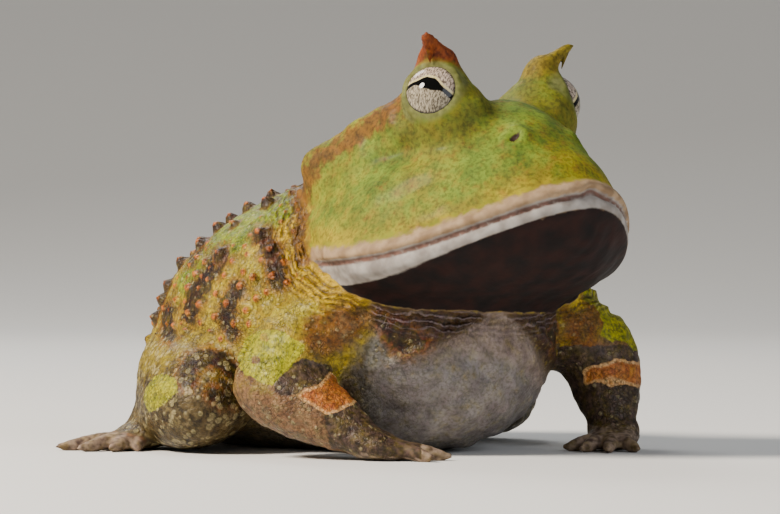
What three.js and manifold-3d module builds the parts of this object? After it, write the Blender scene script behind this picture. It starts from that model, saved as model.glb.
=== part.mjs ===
// A Surinam horned frog at life size, sitting with its head raised and its mouth shut.
// Millimetres, +Z up. The frog faces -Y, its left side is towards +X, and the floor is Z = 0.
// A place beside the midline is [out, back, up]: out from the midline, the same on either side.
import * as THREE from "three";
import { ParametricGeometry } from "three/addons/geometries/ParametricGeometry.js";
import { mergeVertices } from "three/addons/utils/BufferGeometryUtils.js";
import Module from "manifold-3d";

const wasm = await Module();
wasm.setup();

// Driving dimensions
const GAP = 0.3; // between two parts that meet
const ORIGIN_SHIFT = [0, 0.36, 0]; // puts the middle of the frog's outline over the origin
const SIDES = { right: -1, left: 1 };

const HEAD_PITCH = THREE.MathUtils.degToRad(16.5);
const HEAD_ROLL = THREE.MathUtils.degToRad(2.4); // leans to its left
const JAW_JOINT = [0, -12, 27.3]; // middle of the line between the corners of the mouth
const MOUTH_LENGTH = 30.2; // from that line to the tip of the snout

const EYE_RADIUS = 4.3;
const EYE_CENTRE = [10.4, -14.3, 18.2];
const EYE_LOOK = [0.8, -0.56, 0.2];
const ORBIT_CENTRE = [8.2, -12.8, 15.4];
const ORBIT_RADII = [5.6, 6.8, 6.4];
const LID_RADIUS = 4.1;
const LID_THICKNESS = 0.75;
const LID_DEPTH = 2.1; // in front of the eye's centre
const EYE_OPENING = [3.35, 5.2]; // radius at the eye's centre, and clear of the head
const EYE_OPENING_DEPTH = 8;

const LIP_THICKNESS = 1.3;
const UPPER_LIP_HEIGHT = 0.95;
const LOWER_LIP_HEIGHT = -1.1;
const LIP_OUTSET = -0.45; // the middle of a lip against the outline of the jaw it runs along
const MOUTH_SAG = 3.4; // how far the line of the mouth dips between its corner and the snout
const MOUTH_SAG_START = 6; // behind the corner of the mouth
const SAG_HEIGHTS = [4, 14]; // the dip is whole up to the first height and gone at the second
const MOUTH_CUT_REACH = 40;
const MOUTH_CUT_STEPS = 22;
const LIP_FIRST_STATION = 3; // where both lips begin, at the corner of the mouth

const NOSTRIL = {
  centre: [5.6, -24.5, 9.0],
  rim: 1.45,
  sunk: 0.5,
  slit: [0.42, 0.9, 2.0],
  slant: THREE.MathUtils.degToRad(60),
  rise: 1.0,
};

const WART_ROWS = 8;
const WARTS_IN_ROW = 9;
const WART_REACH = [0.14, 0.6]; // the shares of the torso, from the vent, that have warts
const WART_ARCH = [0.06, 0.94]; // the same round its back, as shares of half a turn
const WART_SCATTER = 0.7;
const WART_SIDES = 6;
const WART_RADIUS = [1.0, 1.7];
const WART_HEIGHT = [0.9, 1.6];
const WART_ROOT = 1.1; // how deep a wart is sunk
const WART_SEED = 7;

const DIGIT_RADIUS = 1.3;
const DIGIT_TIP_RADIUS = 0.8;

const FLOOR_SIZE = 300;
const FLOOR_DEPTH = 40;

// Stations of a body form: [across, back, up, half-width, height above, depth below, squareness].
// The first and the last have no width, so the form closes round.
const HEAD_STATIONS = [
  [0, 13.0, 7.0, 0, 0, 0, 2.0],
  [0, 12.0, 6.0, 9.4, 5.6, 6.0, 2.0],
  [0, 8.5, 3.0, 16.8, 12.6, 7.0, 2.1],
  [0, 3.0, 1.2, 20.4, 15.6, 6.0, 2.0],
  [0, -3.5, 0.8, 21.2, 16.6, 5.5, 1.8],
  [0, -10.0, 0.8, 19.8, 17.2, 5.0, 1.6],
  [0, -16.0, 0.8, 17.2, 17.2, 4.5, 1.5],
  [0, -21.0, 0.8, 14.0, 14.6, 4.0, 1.5],
  [0, -25.0, 0.8, 10.4, 10.8, 3.5, 1.7],
  [0, -28.0, 0.9, 6.8, 6.9, 3.0, 1.9],
  [0, -29.6, 1.1, 3.6, 3.4, 2.4, 2.0],
  [0, -MOUTH_LENGTH, 1.2, 0, 0, 0, 2.0],
];
const JAW_STATIONS = [
  [0, 11.0, -3.0, 0, 0, 0, 2.0],
  [0, 9.4, -2.2, 11.0, 3.0, 5.4, 2.0],
  [0, 4.5, -0.6, 18.0, 2.2, 7.0, 2.1],
  [0, -2.0, -0.4, 20.8, 2.0, 6.6, 2.1],
  [0, -9.5, -0.4, 19.4, 2.0, 5.9, 2.1],
  [0, -15.6, -0.4, 16.8, 2.0, 5.5, 2.1],
  [0, -20.6, -0.4, 13.6, 2.0, 5.4, 2.1],
  [0, -24.6, -0.4, 10.0, 2.0, 4.7, 2.1],
  [0, -27.5, -0.4, 6.5, 1.8, 3.8, 2.0],
  [0, -29.1, -0.4, 3.4, 1.4, 2.6, 2.0],
  [0, 0.5 - MOUTH_LENGTH, -0.6, 0, 0, 0, 2.0],
];
const TORSO_STATIONS = [
  [0, 41.0, 12.0, 0, 0, 0, 2.0],
  [0, 39.4, 12.0, 8.0, 6.8, 7.4, 2.0],
  [0, 34.5, 12.6, 16.0, 12.8, 12.6, 2.1],
  [0, 26.5, 13.4, 22.0, 18.0, 14.6, 2.2],
  [0, 17.0, 14.4, 24.8, 21.4, 15.4, 2.25],
  [0, 7.0, 15.0, 24.6, 24.0, 15.8, 2.2],
  [0, -3.0, 15.6, 22.4, 24.6, 16.0, 2.15],
  [0, -11.0, 16.0, 19.4, 20.4, 15.6, 2.1],
  [0, -17.5, 16.2, 14.8, 13.4, 13.6, 2.1],
  [0, -21.8, 16.0, 8.4, 7.0, 8.2, 2.0],
  [0, -23.2, 15.8, 0, 0, 0, 2.0],
];
// Stations of a horn, measured from the eye's centre: [ahead, up, out along the eye's look,
// half-thickness, half-width]. The horn leans out over the eye.
const HORN_STATIONS = [
  [0.3, -1.5, -2.6, 0, 0],
  [0.3, 0.8, -1.4, 3.2, 4.7],
  [0.6, 3.2, -0.3, 3.0, 4.1],
  [0.85, 4.89, 0.73, 2.3, 3.0],
  [0.95, 5.5, 2.1, 1.3, 2.4],
  [1.05, 6.2, 3.7, 0.8, 1.3],
  [0.95, 6.7, 5.2, 0.6, 0.95],
  [1.1, 6.9, 6.3, 0, 0],
];
// Stations of the ridge along the temple, and of a limb: [out, back, up, half-width,
// half-thickness]
const TEMPLE_STATIONS = [
  [9.6, -13.0, 15.8, 0, 0],
  [10.8, -10.0, 16.4, 2.7, 4.1],
  [12.2, -4.0, 15.2, 2.9, 4.6],
  [13.4, 2.0, 13.7, 3.2, 5.0],
  [13.6, 7.4, 12.2, 3.5, 5.2],
  [13.0, 11.4, 10.0, 0, 0],
];
const ARMS = {
  right: {
    upperArm: [
      [10.5, -9.0, 20.9, 0, 0],
      [14.0, -8.4, 19.2, 7.2, 6.8],
      [19.4, -6.8, 16.2, 6.9, 6.5],
      [24.6, -4.8, 12.8, 5.9, 5.8],
      [28.2, -3.4, 10.6, 0, 0],
    ],
    forearm: [
      [28.0, -1.2, 13.4, 0, 0],
      [27.0, -3.2, 11.6, 4.8, 4.8],
      [25.4, -7.4, 8.8, 5.9, 5.4],
      [22.8, -13.0, 5.8, 5.1, 4.5],
      [21.0, -17.6, 3.5, 3.6, 2.9],
      [19.8, -21.0, 2.0, 0, 0],
    ],
    palm: [
      [22.0, -15.6, 3.7, 0, 0],
      [21.0, -18.0, 2.9, 3.5, 2.7],
      [19.4, -20.6, 1.9, 4.2, 2.1],
      [18.2, -22.4, 1.4, 3.6, 1.7],
      [17.2, -23.8, 1.1, 0, 0],
    ],
    fingerRoot: [19.0, -20.8, 1.4],
  },
  left: {
    upperArm: [
      [10.5, -9.0, 20.9, 0, 0],
      [14.0, -10.4, 19.8, 7.2, 6.6],
      [18.8, -12.2, 18.2, 6.8, 6.4],
      [23.4, -13.8, 16.4, 5.9, 5.8],
      [27.2, -14.8, 14.8, 0, 0],
    ],
    forearm: [
      [25.6, -12.2, 18.6, 0, 0],
      [25.6, -13.8, 16.4, 4.8, 4.8],
      [25.4, -16.0, 11.8, 5.7, 5.3],
      [24.6, -18.2, 7.4, 4.8, 4.4],
      [23.6, -19.8, 4.2, 3.5, 3.0],
      [22.8, -21.4, 1.8, 0, 0],
    ],
    palm: [
      [25.2, -17.6, 4.2, 0, 0],
      [24.2, -19.4, 3.2, 3.5, 2.8],
      [22.6, -21.6, 2.0, 4.2, 2.1],
      [21.2, -23.2, 1.4, 3.6, 1.7],
      [20.0, -24.4, 1.1, 0, 0],
    ],
    fingerRoot: [22.0, -21.8, 1.4],
  },
};
// Each digit as [heading, length]. 0 degrees points straight out, -90 straight ahead.
const FINGERS = [
  [-192, 8.2],
  [-163, 9.0],
  [-136, 9.6],
  [-106, 8.6],
];
const TOES = [
  [-52, 6.0],
  [-24, 8.4],
  [2, 10.6],
  [28, 12.0],
  [56, 8.6],
];
const TOE_ROOT = [28.6, 21.6, 1.4];
const LEG = {
  thigh: [
    [4.0, 33.0, 12.0, 0, 0],
    [8.0, 30.5, 11.5, 7.6, 7.4],
    [16.0, 24.0, 10.0, 8.7, 8.4],
    [22.6, 14.6, 8.8, 7.9, 7.7],
    [26.0, 6.6, 8.0, 5.8, 6.0],
    [27.6, 2.2, 7.6, 0, 0],
  ],
  shank: [
    [27.4, 2.4, 7.0, 0, 0],
    [27.6, 5.8, 6.8, 4.9, 5.0],
    [26.8, 12.0, 6.4, 6.2, 6.1],
    [24.0, 18.4, 6.2, 5.8, 5.8],
    [21.0, 23.8, 5.9, 5.0, 5.3],
    [18.8, 27.6, 5.5, 0, 0],
  ],
  tarsus: [
    [17.4, 25.6, 5.4, 0, 0],
    [19.8, 25.2, 5.0, 4.0, 4.2],
    [24.0, 23.6, 3.4, 3.5, 3.2],
    [28.0, 21.9, 2.0, 3.8, 2.2],
    [31.0, 20.8, 1.4, 3.0, 1.6],
    [32.8, 20.2, 1.1, 0, 0],
  ],
};

// Colours of the living animal
const SKIN = {
  head: 0x9aa34e,
  jaw: 0x3a2a28,
  torso: 0x8f7d3a,
  limb: 0x8a6a40,
  digit: 0x6b5a50,
  horn: 0x9a5a2a,
  eye: 0xb9b2a0,
};

// The smooth line through equally spaced stations. Past either end the form is its own mirror
// image, so places repeat and sizes change sign, and the form closes round.
const FIRST_SIZE = 3;
function along(stations, v) {
  const last = stations.length - 1;
  const at = THREE.MathUtils.clamp(v, 0, 1) * last;
  const i = Math.min(Math.floor(at), last - 1);
  const t = at - i;
  return stations[0].map((_, column) => {
    const value = (k) => {
      const inside = k < 0 ? -k : k > last ? 2 * last - k : k;
      const mirrored = inside !== k && column >= FIRST_SIZE && column < FIRST_SIZE + 3;
      return stations[inside][column] * (mirrored ? -1 : 1);
    };
    const [a, b, c, d] = [value(i - 1), value(i), value(i + 1), value(i + 2)];
    return b + 0.5 * t * (c - a + t * (2 * a - 5 * b + 4 * c - d + t * (3 * (b - c) + d - a)));
  });
}

// A rounded form whose upright sections stand square to the frog's length
function body(stations, sides, rings) {
  const place = (u, v, target) => {
    const angle = (u % 1) * 2 * Math.PI;
    const [across, back, up, wide, above, below, square] = along(stations, v);
    const [cos, sin] = [Math.cos(angle), Math.sin(angle)];
    const power = 2 / square;
    const high = sin > 0 ? above : below;
    target.set(
      across + wide * Math.sign(cos) * Math.abs(cos) ** power,
      back,
      up + high * Math.sign(sin) * Math.abs(sin) ** power,
    );
  };
  return new ParametricGeometry(place, sides, rings);
}

// A rounded form along a bent line, with oval sections square to that line
function limb(stations, sides, rings, reference = new THREE.Vector3(0, 0, 1)) {
  const STEP = 0.01;
  const place = (u, v, target) => {
    const angle = (u % 1) * 2 * Math.PI;
    const middle = THREE.MathUtils.clamp(v, 2 * STEP, 1 - 2 * STEP);
    const behind = new THREE.Vector3(...along(stations, middle - STEP));
    const ahead = new THREE.Vector3(...along(stations, middle + STEP));
    const forward = ahead.sub(behind).normalize();
    const side = forward.clone().cross(reference).normalize();
    const lift = side.clone().cross(forward);
    const [x, y, z, wide, thick] = along(stations, v);
    target.set(x, y, z);
    target.addScaledVector(side, wide * Math.cos(angle));
    target.addScaledVector(lift, thick * Math.sin(angle));
  };
  return new ParametricGeometry(place, sides, rings);
}

// The same stations on the frog's right or left
function onSide(stations, side) {
  return stations.map(([out, ...rest]) => [side * out, ...rest]);
}

// How far the line of the mouth dips at a place along the head
function sagAt(back) {
  const share = (MOUTH_SAG_START - back) / (MOUTH_SAG_START + MOUTH_LENGTH + 1.3);
  return -MOUTH_SAG * Math.sin(Math.PI * THREE.MathUtils.clamp(share, 0, 1));
}

// A form of the head or jaw, bent down along its sides as the line of the mouth is
function sagged(geometry) {
  const position = geometry.attributes.position;
  for (let i = 0; i < position.count; i++) {
    const [back, up] = [position.getY(i), position.getZ(i)];
    const share = 1 - THREE.MathUtils.smoothstep(up, ...SAG_HEIGHTS);
    position.setZ(i, up + share * sagAt(back));
  }
  return geometry;
}

function placeOf(station) {
  return station.slice(0, 3);
}

// The frame of an eye in the head's: ahead along its slit, up across it, and out of it
function eyeFrame(side) {
  const out = new THREE.Vector3(side * EYE_LOOK[0], EYE_LOOK[1], EYE_LOOK[2]).normalize();
  const ahead = new THREE.Vector3(0, 0, side).cross(out).negate().normalize();
  const up = ahead.clone().cross(out).multiplyScalar(side);
  const [x, back, height] = EYE_CENTRE;
  return new THREE.Matrix4().makeBasis(ahead, up, out).setPosition(side * x, back, height);
}

// A form made round the Z axis, set on an eye with that axis along the eye's look
function onEye(geometry, side, depth) {
  const look = new THREE.Vector3(side * EYE_LOOK[0], EYE_LOOK[1], EYE_LOOK[2]).normalize();
  const turn = new THREE.Quaternion().setFromUnitVectors(new THREE.Vector3(0, 0, 1), look);
  const [out, back, up] = EYE_CENTRE;
  return geometry
    .applyQuaternion(turn)
    .translate(side * out + look.x * depth, back + look.y * depth, up + look.z * depth);
}

function ellipsoid(centre, radii, sides, rings) {
  return new THREE.SphereGeometry(1, sides, rings).scale(...radii).translate(...centre);
}

// A lip: a rounded cord along the outline of the head or jaw
function lip(stations, height, sides, rings) {
  const steps = 2 * (stations.length - 1 - LIP_FIRST_STATION);
  const first = LIP_FIRST_STATION / (stations.length - 1);
  const cord = [];
  for (let i = 0; i <= steps; i++) {
    const across = Math.sign(steps / 2 - i);
    const v = 1 - (1 - first) * Math.abs(1 - (2 * i) / steps);
    const [, back, , wide] = along(stations, v);
    const inward = across === 0 ? [0, -LIP_OUTSET] : [across * LIP_OUTSET, 0];
    const size = i === 0 || i === steps ? 0 : LIP_THICKNESS;
    cord.push([across * wide + inward[0], back + inward[1], height, size, size]);
  }
  return limb(cord, sides, rings);
}

// A finger or toe that arches a little and comes down on its tip
function digit([out, back, up], heading, length) {
  const angle = THREE.MathUtils.degToRad(heading);
  const [dx, dy] = [Math.cos(angle) * length, Math.sin(angle) * length];
  const at = (share, height, size) => [out + dx * share, back + dy * share, height, size, size];
  return [
    at(-0.12, up, 0),
    at(0.05, up, DIGIT_RADIUS),
    at(0.45, up * 0.95, DIGIT_RADIUS * 0.9),
    at(0.82, DIGIT_TIP_RADIUS * 0.85, DIGIT_TIP_RADIUS),
    at(1.0, DIGIT_TIP_RADIUS * 0.8, 0),
  ];
}

// Cone-shaped warts over the back and flanks, set square to the torso's surface
function warts() {
  const random = seeded(WART_SEED);
  const made = [];
  for (let row = 0; row < WART_ROWS; row++) {
    for (let i = 0; i < WARTS_IN_ROW; i++) {
      const v = between(WART_REACH, (row + WART_SCATTER * random()) / WART_ROWS);
      const turn = (i + (1 - WART_SCATTER) / 2 + WART_SCATTER * random()) / WARTS_IN_ROW;
      const angle = Math.PI * between(WART_ARCH, turn);
      const radius = between(WART_RADIUS, random());
      const height = between(WART_HEIGHT, random());
      const foot = onTorso(angle, v);
      const out = onTorso(angle + 0.02, v)
        .sub(foot)
        .cross(onTorso(angle, v + 0.01).sub(foot))
        .normalize();
      const cone = new THREE.ConeGeometry(radius, height + WART_ROOT, WART_SIDES);
      cone.translate(0, (height - WART_ROOT) / 2, 0);
      const axis = new THREE.Vector3(0, 1, 0);
      cone.applyQuaternion(new THREE.Quaternion().setFromUnitVectors(axis, out));
      made.push(cone.translate(foot.x, foot.y, foot.z));
    }
  }
  return made;
}

// A point of the torso's surface, at an angle round it from its left side over the back
function onTorso(angle, v) {
  const [across, back, up, wide, above, , square] = along(TORSO_STATIONS, v);
  const power = 2 / square;
  const cos = Math.cos(angle);
  return new THREE.Vector3(
    across + wide * Math.sign(cos) * Math.abs(cos) ** power,
    back,
    up + above * Math.abs(Math.sin(angle)) ** power,
  );
}

function between([low, high], share) {
  return low + (high - low) * share;
}

// Random numbers that are the same at each run
function seeded(seed) {
  let state = seed;
  return () => {
    state = (state * 16807) % 2147483647;
    return state / 2147483647;
  };
}

// A closed geometry as a solid with its faces pointing out, grown all round by some distance
function solidOf(geometry, grow = 0) {
  const bare = geometry.clone();
  bare.deleteAttribute("normal");
  bare.deleteAttribute("uv");
  const merged = mergeVertices(bare, 1e-4);
  const corners = merged.index.array;
  const faces = [];
  for (let i = 0; i < corners.length; i += 3) {
    const [a, b, c] = corners.slice(i, i + 3);
    if (a !== b && b !== c && c !== a) faces.push(a, b, c);
  }
  if (volumeOf(merged.attributes.position, faces) < 0) faces.reverse();
  merged.setIndex(faces);
  merged.computeVertexNormals();
  const position = merged.attributes.position.array;
  const normal = merged.attributes.normal.array;
  const vertProperties = position.map((value, i) => value + grow * normal[i]);
  return new wasm.Manifold(
    new wasm.Mesh({ numProp: 3, vertProperties, triVerts: new Uint32Array(faces) }),
  );
}

// Six times the volume inside the faces, negative if they point inwards
function volumeOf(position, faces) {
  const [a, b, c] = [new THREE.Vector3(), new THREE.Vector3(), new THREE.Vector3()];
  let sum = 0;
  for (let i = 0; i < faces.length; i += 3) {
    a.fromBufferAttribute(position, faces[i]);
    b.fromBufferAttribute(position, faces[i + 1]);
    c.fromBufferAttribute(position, faces[i + 2]);
    sum += a.dot(b.cross(c));
  }
  return sum;
}

function fuse(geometries, grow = 0) {
  return geometries.map((g) => solidOf(g, grow)).reduce((all, next) => all.add(next));
}

// The largest closed surface of a solid
function largest(solid) {
  return solid
    .decompose()
    .reduce((best, next) => (next.volume() > best.volume() ? next : best));
}

// The groups that the parts stand in: the head turns about the line between the corners of its
// mouth, and each length of a limb stands at the joint it starts from
const frog = new THREE.Group();
frog.name = "surinam_horned_frog";
const trunk = new THREE.Group();
trunk.name = "trunk";
trunk.position.set(...ORIGIN_SHIFT);
frog.add(trunk);
const skull = joint("skull", trunk, JAW_JOINT);
skull.rotation.set(-HEAD_PITCH, HEAD_ROLL, 0, "YXZ");
skull.updateWorldMatrix(true, false);

// A group inside another, at a place given in the trunk's frame
function joint(name, parent, place) {
  const group = new THREE.Group();
  group.name = name;
  parent.add(group);
  group.position.copy(parent.worldToLocal(trunk.localToWorld(new THREE.Vector3(...place))));
  group.updateWorldMatrix(true, false);
  return group;
}

// The forms of every part, in the order in which a later one gives way to an earlier one, with
// the group each is drawn in, the group it stands in, and its place there
const forms = new Map();
function form(name, colour, drawnIn, geometries, standsIn = drawnIn, place = [0, 0, 0]) {
  const moved = geometries.map((g) => g.applyMatrix4(drawnIn.matrixWorld));
  forms.set(name, { colour, geometries: moved, standsIn, place });
}

// All that lies below the line of the mouth (side -1) or above it (side 1), from some distance
// past that line onwards
function mouthCut(side, past) {
  const profile = new THREE.Shape();
  profile.moveTo(MOUTH_CUT_REACH, side * MOUTH_CUT_REACH);
  for (let i = 0; i <= MOUTH_CUT_STEPS; i++) {
    const back = between([MOUTH_CUT_REACH, -MOUTH_CUT_REACH], i / MOUTH_CUT_STEPS);
    profile.lineTo(back, sagAt(back) + side * past);
  }
  profile.lineTo(-MOUTH_CUT_REACH, side * MOUTH_CUT_REACH);
  const depth = 2 * MOUTH_CUT_REACH;
  const slab = new THREE.ExtrudeGeometry(profile, { depth, bevelEnabled: false });
  slab.translate(0, 0, -depth / 2);
  const upright = new THREE.Matrix4().makeBasis(
    new THREE.Vector3(0, 1, 0),
    new THREE.Vector3(0, 0, 1),
    new THREE.Vector3(1, 0, 0),
  );
  return solidOf(slab.applyMatrix4(upright).applyMatrix4(skull.matrixWorld));
}

for (const [name, side] of Object.entries(SIDES)) {
  const place = [side * EYE_CENTRE[0], EYE_CENTRE[1], EYE_CENTRE[2]];
  const eye = ellipsoid(place, [EYE_RADIUS, EYE_RADIUS, EYE_RADIUS], 16, 11);
  form(`eye_${name}`, SKIN.eye, skull, [eye], skull, place);
}
for (const [name, side] of Object.entries(SIDES)) {
  const ahead = new THREE.Vector3(1, 0, 0);
  const horn = limb(HORN_STATIONS, 10, 12, ahead).applyMatrix4(eyeFrame(side));
  const place = [side * EYE_CENTRE[0], EYE_CENTRE[1], EYE_CENTRE[2]];
  form(`horn_${name}`, SKIN.horn, skull, [horn], skull, place);
}

const headForms = [
  sagged(body(HEAD_STATIONS, 28, 20)),
  sagged(lip(HEAD_STATIONS, UPPER_LIP_HEIGHT, 6, 26)),
];
for (const side of Object.values(SIDES)) {
  const lid = new THREE.TorusGeometry(LID_RADIUS, LID_THICKNESS, 6, 16);
  const [out, back, up] = ORBIT_CENTRE;
  headForms.push(
    ellipsoid([side * out, back, up], ORBIT_RADII, 16, 11),
    limb(onSide(TEMPLE_STATIONS, side), 9, 11),
    ellipsoid(
      [side * NOSTRIL.centre[0], NOSTRIL.centre[1], NOSTRIL.centre[2] - NOSTRIL.sunk],
      [NOSTRIL.rim, NOSTRIL.rim, NOSTRIL.rim],
      8,
      6,
    ),
    onEye(lid, side, LID_DEPTH),
  );
}
form("head", SKIN.head, skull, headForms);
form("lower_jaw", SKIN.jaw, skull, [
  sagged(body(JAW_STATIONS, 24, 16)),
  sagged(lip(JAW_STATIONS, LOWER_LIP_HEIGHT, 6, 26)),
]);
form("torso", SKIN.torso, trunk, [body(TORSO_STATIONS, 30, 20), ...warts()]);

for (const [name, side] of Object.entries(SIDES)) {
  const arm = ARMS[name];
  const [upper, fore, palm] = [arm.upperArm, arm.forearm, arm.palm].map((s) => onSide(s, side));
  const shoulder = joint(`shoulder_${name}`, trunk, placeOf(upper[0]));
  const elbow = joint(`elbow_${name}`, shoulder, placeOf(fore[0]));
  const wrist = joint(`wrist_${name}`, elbow, placeOf(palm[0]));
  const fingers = FINGERS.map(([heading, length]) => digit(arm.fingerRoot, heading, length));
  form(`upper_arm_${name}`, SKIN.limb, trunk, [limb(upper, 12, 9)], shoulder);
  form(`forearm_${name}`, SKIN.limb, trunk, [limb(fore, 12, 10)], elbow);
  form(
    `hand_${name}`,
    SKIN.digit,
    trunk,
    [limb(palm, 10, 8), ...fingers.map((finger) => limb(onSide(finger, side), 6, 6))],
    wrist,
  );
}
for (const [name, side] of Object.entries(SIDES)) {
  const [thigh, shank, tarsus] = [LEG.thigh, LEG.shank, LEG.tarsus].map((s) => onSide(s, side));
  const hip = joint(`hip_${name}`, trunk, placeOf(thigh[0]));
  const knee = joint(`knee_${name}`, hip, placeOf(shank[0]));
  const ankle = joint(`ankle_${name}`, knee, placeOf(tarsus[0]));
  const toes = TOES.map(([heading, length]) => digit(TOE_ROOT, heading, length));
  form(`thigh_${name}`, SKIN.limb, trunk, [limb(thigh, 12, 10)], hip);
  form(`shank_${name}`, SKIN.limb, trunk, [limb(shank, 12, 10)], knee);
  form(
    `foot_${name}`,
    SKIN.digit,
    trunk,
    [limb(tarsus, 10, 9), ...toes.map((toe) => limb(onSide(toe, side), 6, 6))],
    ankle,
  );
}

// What is cut away besides the earlier parts, and how much of the head and jaw the later parts
// keep clear of
const floor = solidOf(
  new THREE.BoxGeometry(FLOOR_SIZE, FLOOR_SIZE, FLOOR_DEPTH).translate(0, 0, -FLOOR_DEPTH / 2),
);
const cuts = new Map([
  ["head", [mouthCut(-1, -GAP / 2), ...nostrilSlits(), ...eyeOpenings()]],
  ["lower_jaw", [mouthCut(1, -GAP / 2)]],
  ["horn_right", [eyeOpenings()[0]]],
  ["horn_left", [eyeOpenings()[1]]],
]);
const clearanceCuts = new Map([
  ["head", mouthCut(-1, GAP / 2)],
  ["lower_jaw", mouthCut(1, GAP / 2)],
]);
function eyeOpenings() {
  const [near, far] = EYE_OPENING;
  return Object.values(SIDES).map((side) => {
    const cone = new THREE.CylinderGeometry(far, near, EYE_OPENING_DEPTH, 16);
    cone.rotateX(Math.PI / 2);
    return solidOf(onEye(cone, side, EYE_OPENING_DEPTH / 2).applyMatrix4(skull.matrixWorld));
  });
}
function nostrilSlits() {
  const [out, back, up] = NOSTRIL.centre;
  return Object.values(SIDES).map((side) => {
    const slit = ellipsoid([0, 0, 0], NOSTRIL.slit, 10, 8);
    slit.rotateZ(-side * NOSTRIL.slant);
    slit.translate(side * out, back, up + NOSTRIL.rise);
    return solidOf(slit.applyMatrix4(skull.matrixWorld));
  });
}

const clearances = [];
for (const [name, { colour, geometries, standsIn, place }] of forms) {
  let solid = fuse(geometries).subtract(floor);
  for (const cut of cuts.get(name) ?? []) solid = solid.subtract(cut);
  for (const clearance of clearances) solid = solid.subtract(clearance);
  const grown = fuse(geometries, GAP);
  const limit = clearanceCuts.get(name);
  clearances.push(limit ? grown.subtract(limit) : grown);
  addMesh(name, largest(solid), colour, standsIn, place);
}

// Adds a part to its group, with its geometry measured from its own place there
function addMesh(name, solid, colour, group, place) {
  const { numProp, numVert, vertProperties, triVerts } = solid.getMesh();
  const position = new Float32Array(numVert * 3);
  for (let i = 0; i < numVert; i++) {
    position.set(vertProperties.subarray(i * numProp, i * numProp + 3), i * 3);
  }
  const geometry = new THREE.BufferGeometry();
  geometry.setAttribute("position", new THREE.BufferAttribute(position, 3));
  geometry.setIndex(new THREE.BufferAttribute(triVerts, 1));
  const material = new THREE.MeshStandardMaterial({ color: colour, roughness: 0.5 });
  const mesh = new THREE.Mesh(geometry, material);
  mesh.name = name;
  mesh.position.set(...place);
  group.add(mesh);
  mesh.updateWorldMatrix(true, false);
  geometry.applyMatrix4(mesh.matrixWorld.clone().invert());
  geometry.computeVertexNormals();
}

export default frog;
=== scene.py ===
"""A Surinam horned frog at life size, sitting upright, dressed for display.

The skin is one closed surface that stands for all the parts of flesh. It is worked out from
rounded forms, joined, smoothed where they meet, and given its folds, warts, lids and lips.
Sizes are in millimetres, and become metres where a mesh is made. The frog faces -Y, its left
side is towards +X, and the floor is Z = 0.
"""

import logging
import math
from dataclasses import dataclass, field
from enum import Enum

import bpy
import numpy as np
from mathutils import Matrix, Vector
from mathutils.kdtree import KDTree


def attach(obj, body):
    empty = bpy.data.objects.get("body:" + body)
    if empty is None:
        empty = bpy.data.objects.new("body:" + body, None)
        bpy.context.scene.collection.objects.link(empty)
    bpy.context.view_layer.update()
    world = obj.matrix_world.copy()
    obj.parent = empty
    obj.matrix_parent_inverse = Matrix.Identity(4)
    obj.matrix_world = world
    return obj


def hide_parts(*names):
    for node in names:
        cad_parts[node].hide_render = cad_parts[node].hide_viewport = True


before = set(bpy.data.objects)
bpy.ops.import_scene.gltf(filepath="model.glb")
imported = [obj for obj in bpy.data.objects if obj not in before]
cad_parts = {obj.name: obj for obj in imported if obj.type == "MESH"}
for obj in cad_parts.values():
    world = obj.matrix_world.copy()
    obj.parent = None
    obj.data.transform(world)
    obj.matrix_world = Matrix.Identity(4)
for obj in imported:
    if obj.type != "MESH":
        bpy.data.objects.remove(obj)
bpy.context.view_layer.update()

LOG = logging.getLogger("frog")
MM = 0.001
SEED = 11

Array = np.ndarray
Stations = tuple[tuple[float, ...], ...]
Line = tuple[tuple[float, ...], ...]


class Side(Enum):
    """The frog's own right and left; the value is the sign of X there."""

    RIGHT = -1
    LEFT = 1


# Colour and small sums


def srgb(code: str) -> tuple[float, float, float, float]:
    """Turns an sRGB hex colour into Blender's linear colour.

    Args:
        code: the colour as RRGGBB.

    Returns:
        Linear red, green, blue and an alpha of 1.
    """
    channels = (int(code[i : i + 2], 16) / 255 for i in (0, 2, 4))
    linear = (c / 12.92 if c <= 0.04045 else ((c + 0.055) / 1.055) ** 2.4 for c in channels)
    return (*linear, 1.0)


def smoothstep(low: float, high: float, x: Array) -> Array:
    """0 at low and below, 1 at high and above, and 3t^2 - 2t^3 between them."""
    t = np.clip((x - low) / (high - low), 0.0, 1.0)
    return t * t * (3.0 - 2.0 * t)


def bump(x: Array, centre: float, reach: float) -> Array:
    """A smooth hill of height 1 at centre that falls to 0 at reach on either side."""
    return smoothstep(reach, 0.0, np.abs(x - centre))


def lattice_hash(cells: Array, seed: int) -> Array:
    """A repeatable random number from 0 to 1 for each whole-numbered cell.

    Args:
        cells: whole numbers, shaped (..., 3).
        seed: picks the set of numbers.

    Returns:
        One number for each cell: the fraction of a large sine, which scatters evenly.
    """
    mixed = cells @ np.array([127.1, 311.7, 74.7]) + 17.3 * seed
    return np.modf(np.abs(np.sin(mixed) * 43758.5453))[0]


def value_noise(points: Array, size: float, seed: int) -> Array:
    """Smooth noise from -1 to 1: random values on a cubic lattice, blended by smoothstep.

    Args:
        points: places in millimetres, shaped (n, 3).
        size: the lattice's spacing in millimetres.
        seed: picks the values.

    Returns:
        One value for each place.
    """
    scaled = points / size
    low = np.floor(scaled)
    part = scaled - low
    part = part * part * (3.0 - 2.0 * part)
    total = np.zeros(len(points))
    for corner in np.ndindex(2, 2, 2):
        weight = np.prod(np.where(np.array(corner) == 1, part, 1.0 - part), axis=1)
        total += weight * lattice_hash(low + np.array(corner), seed)
    return 2.0 * total - 1.0


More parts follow.
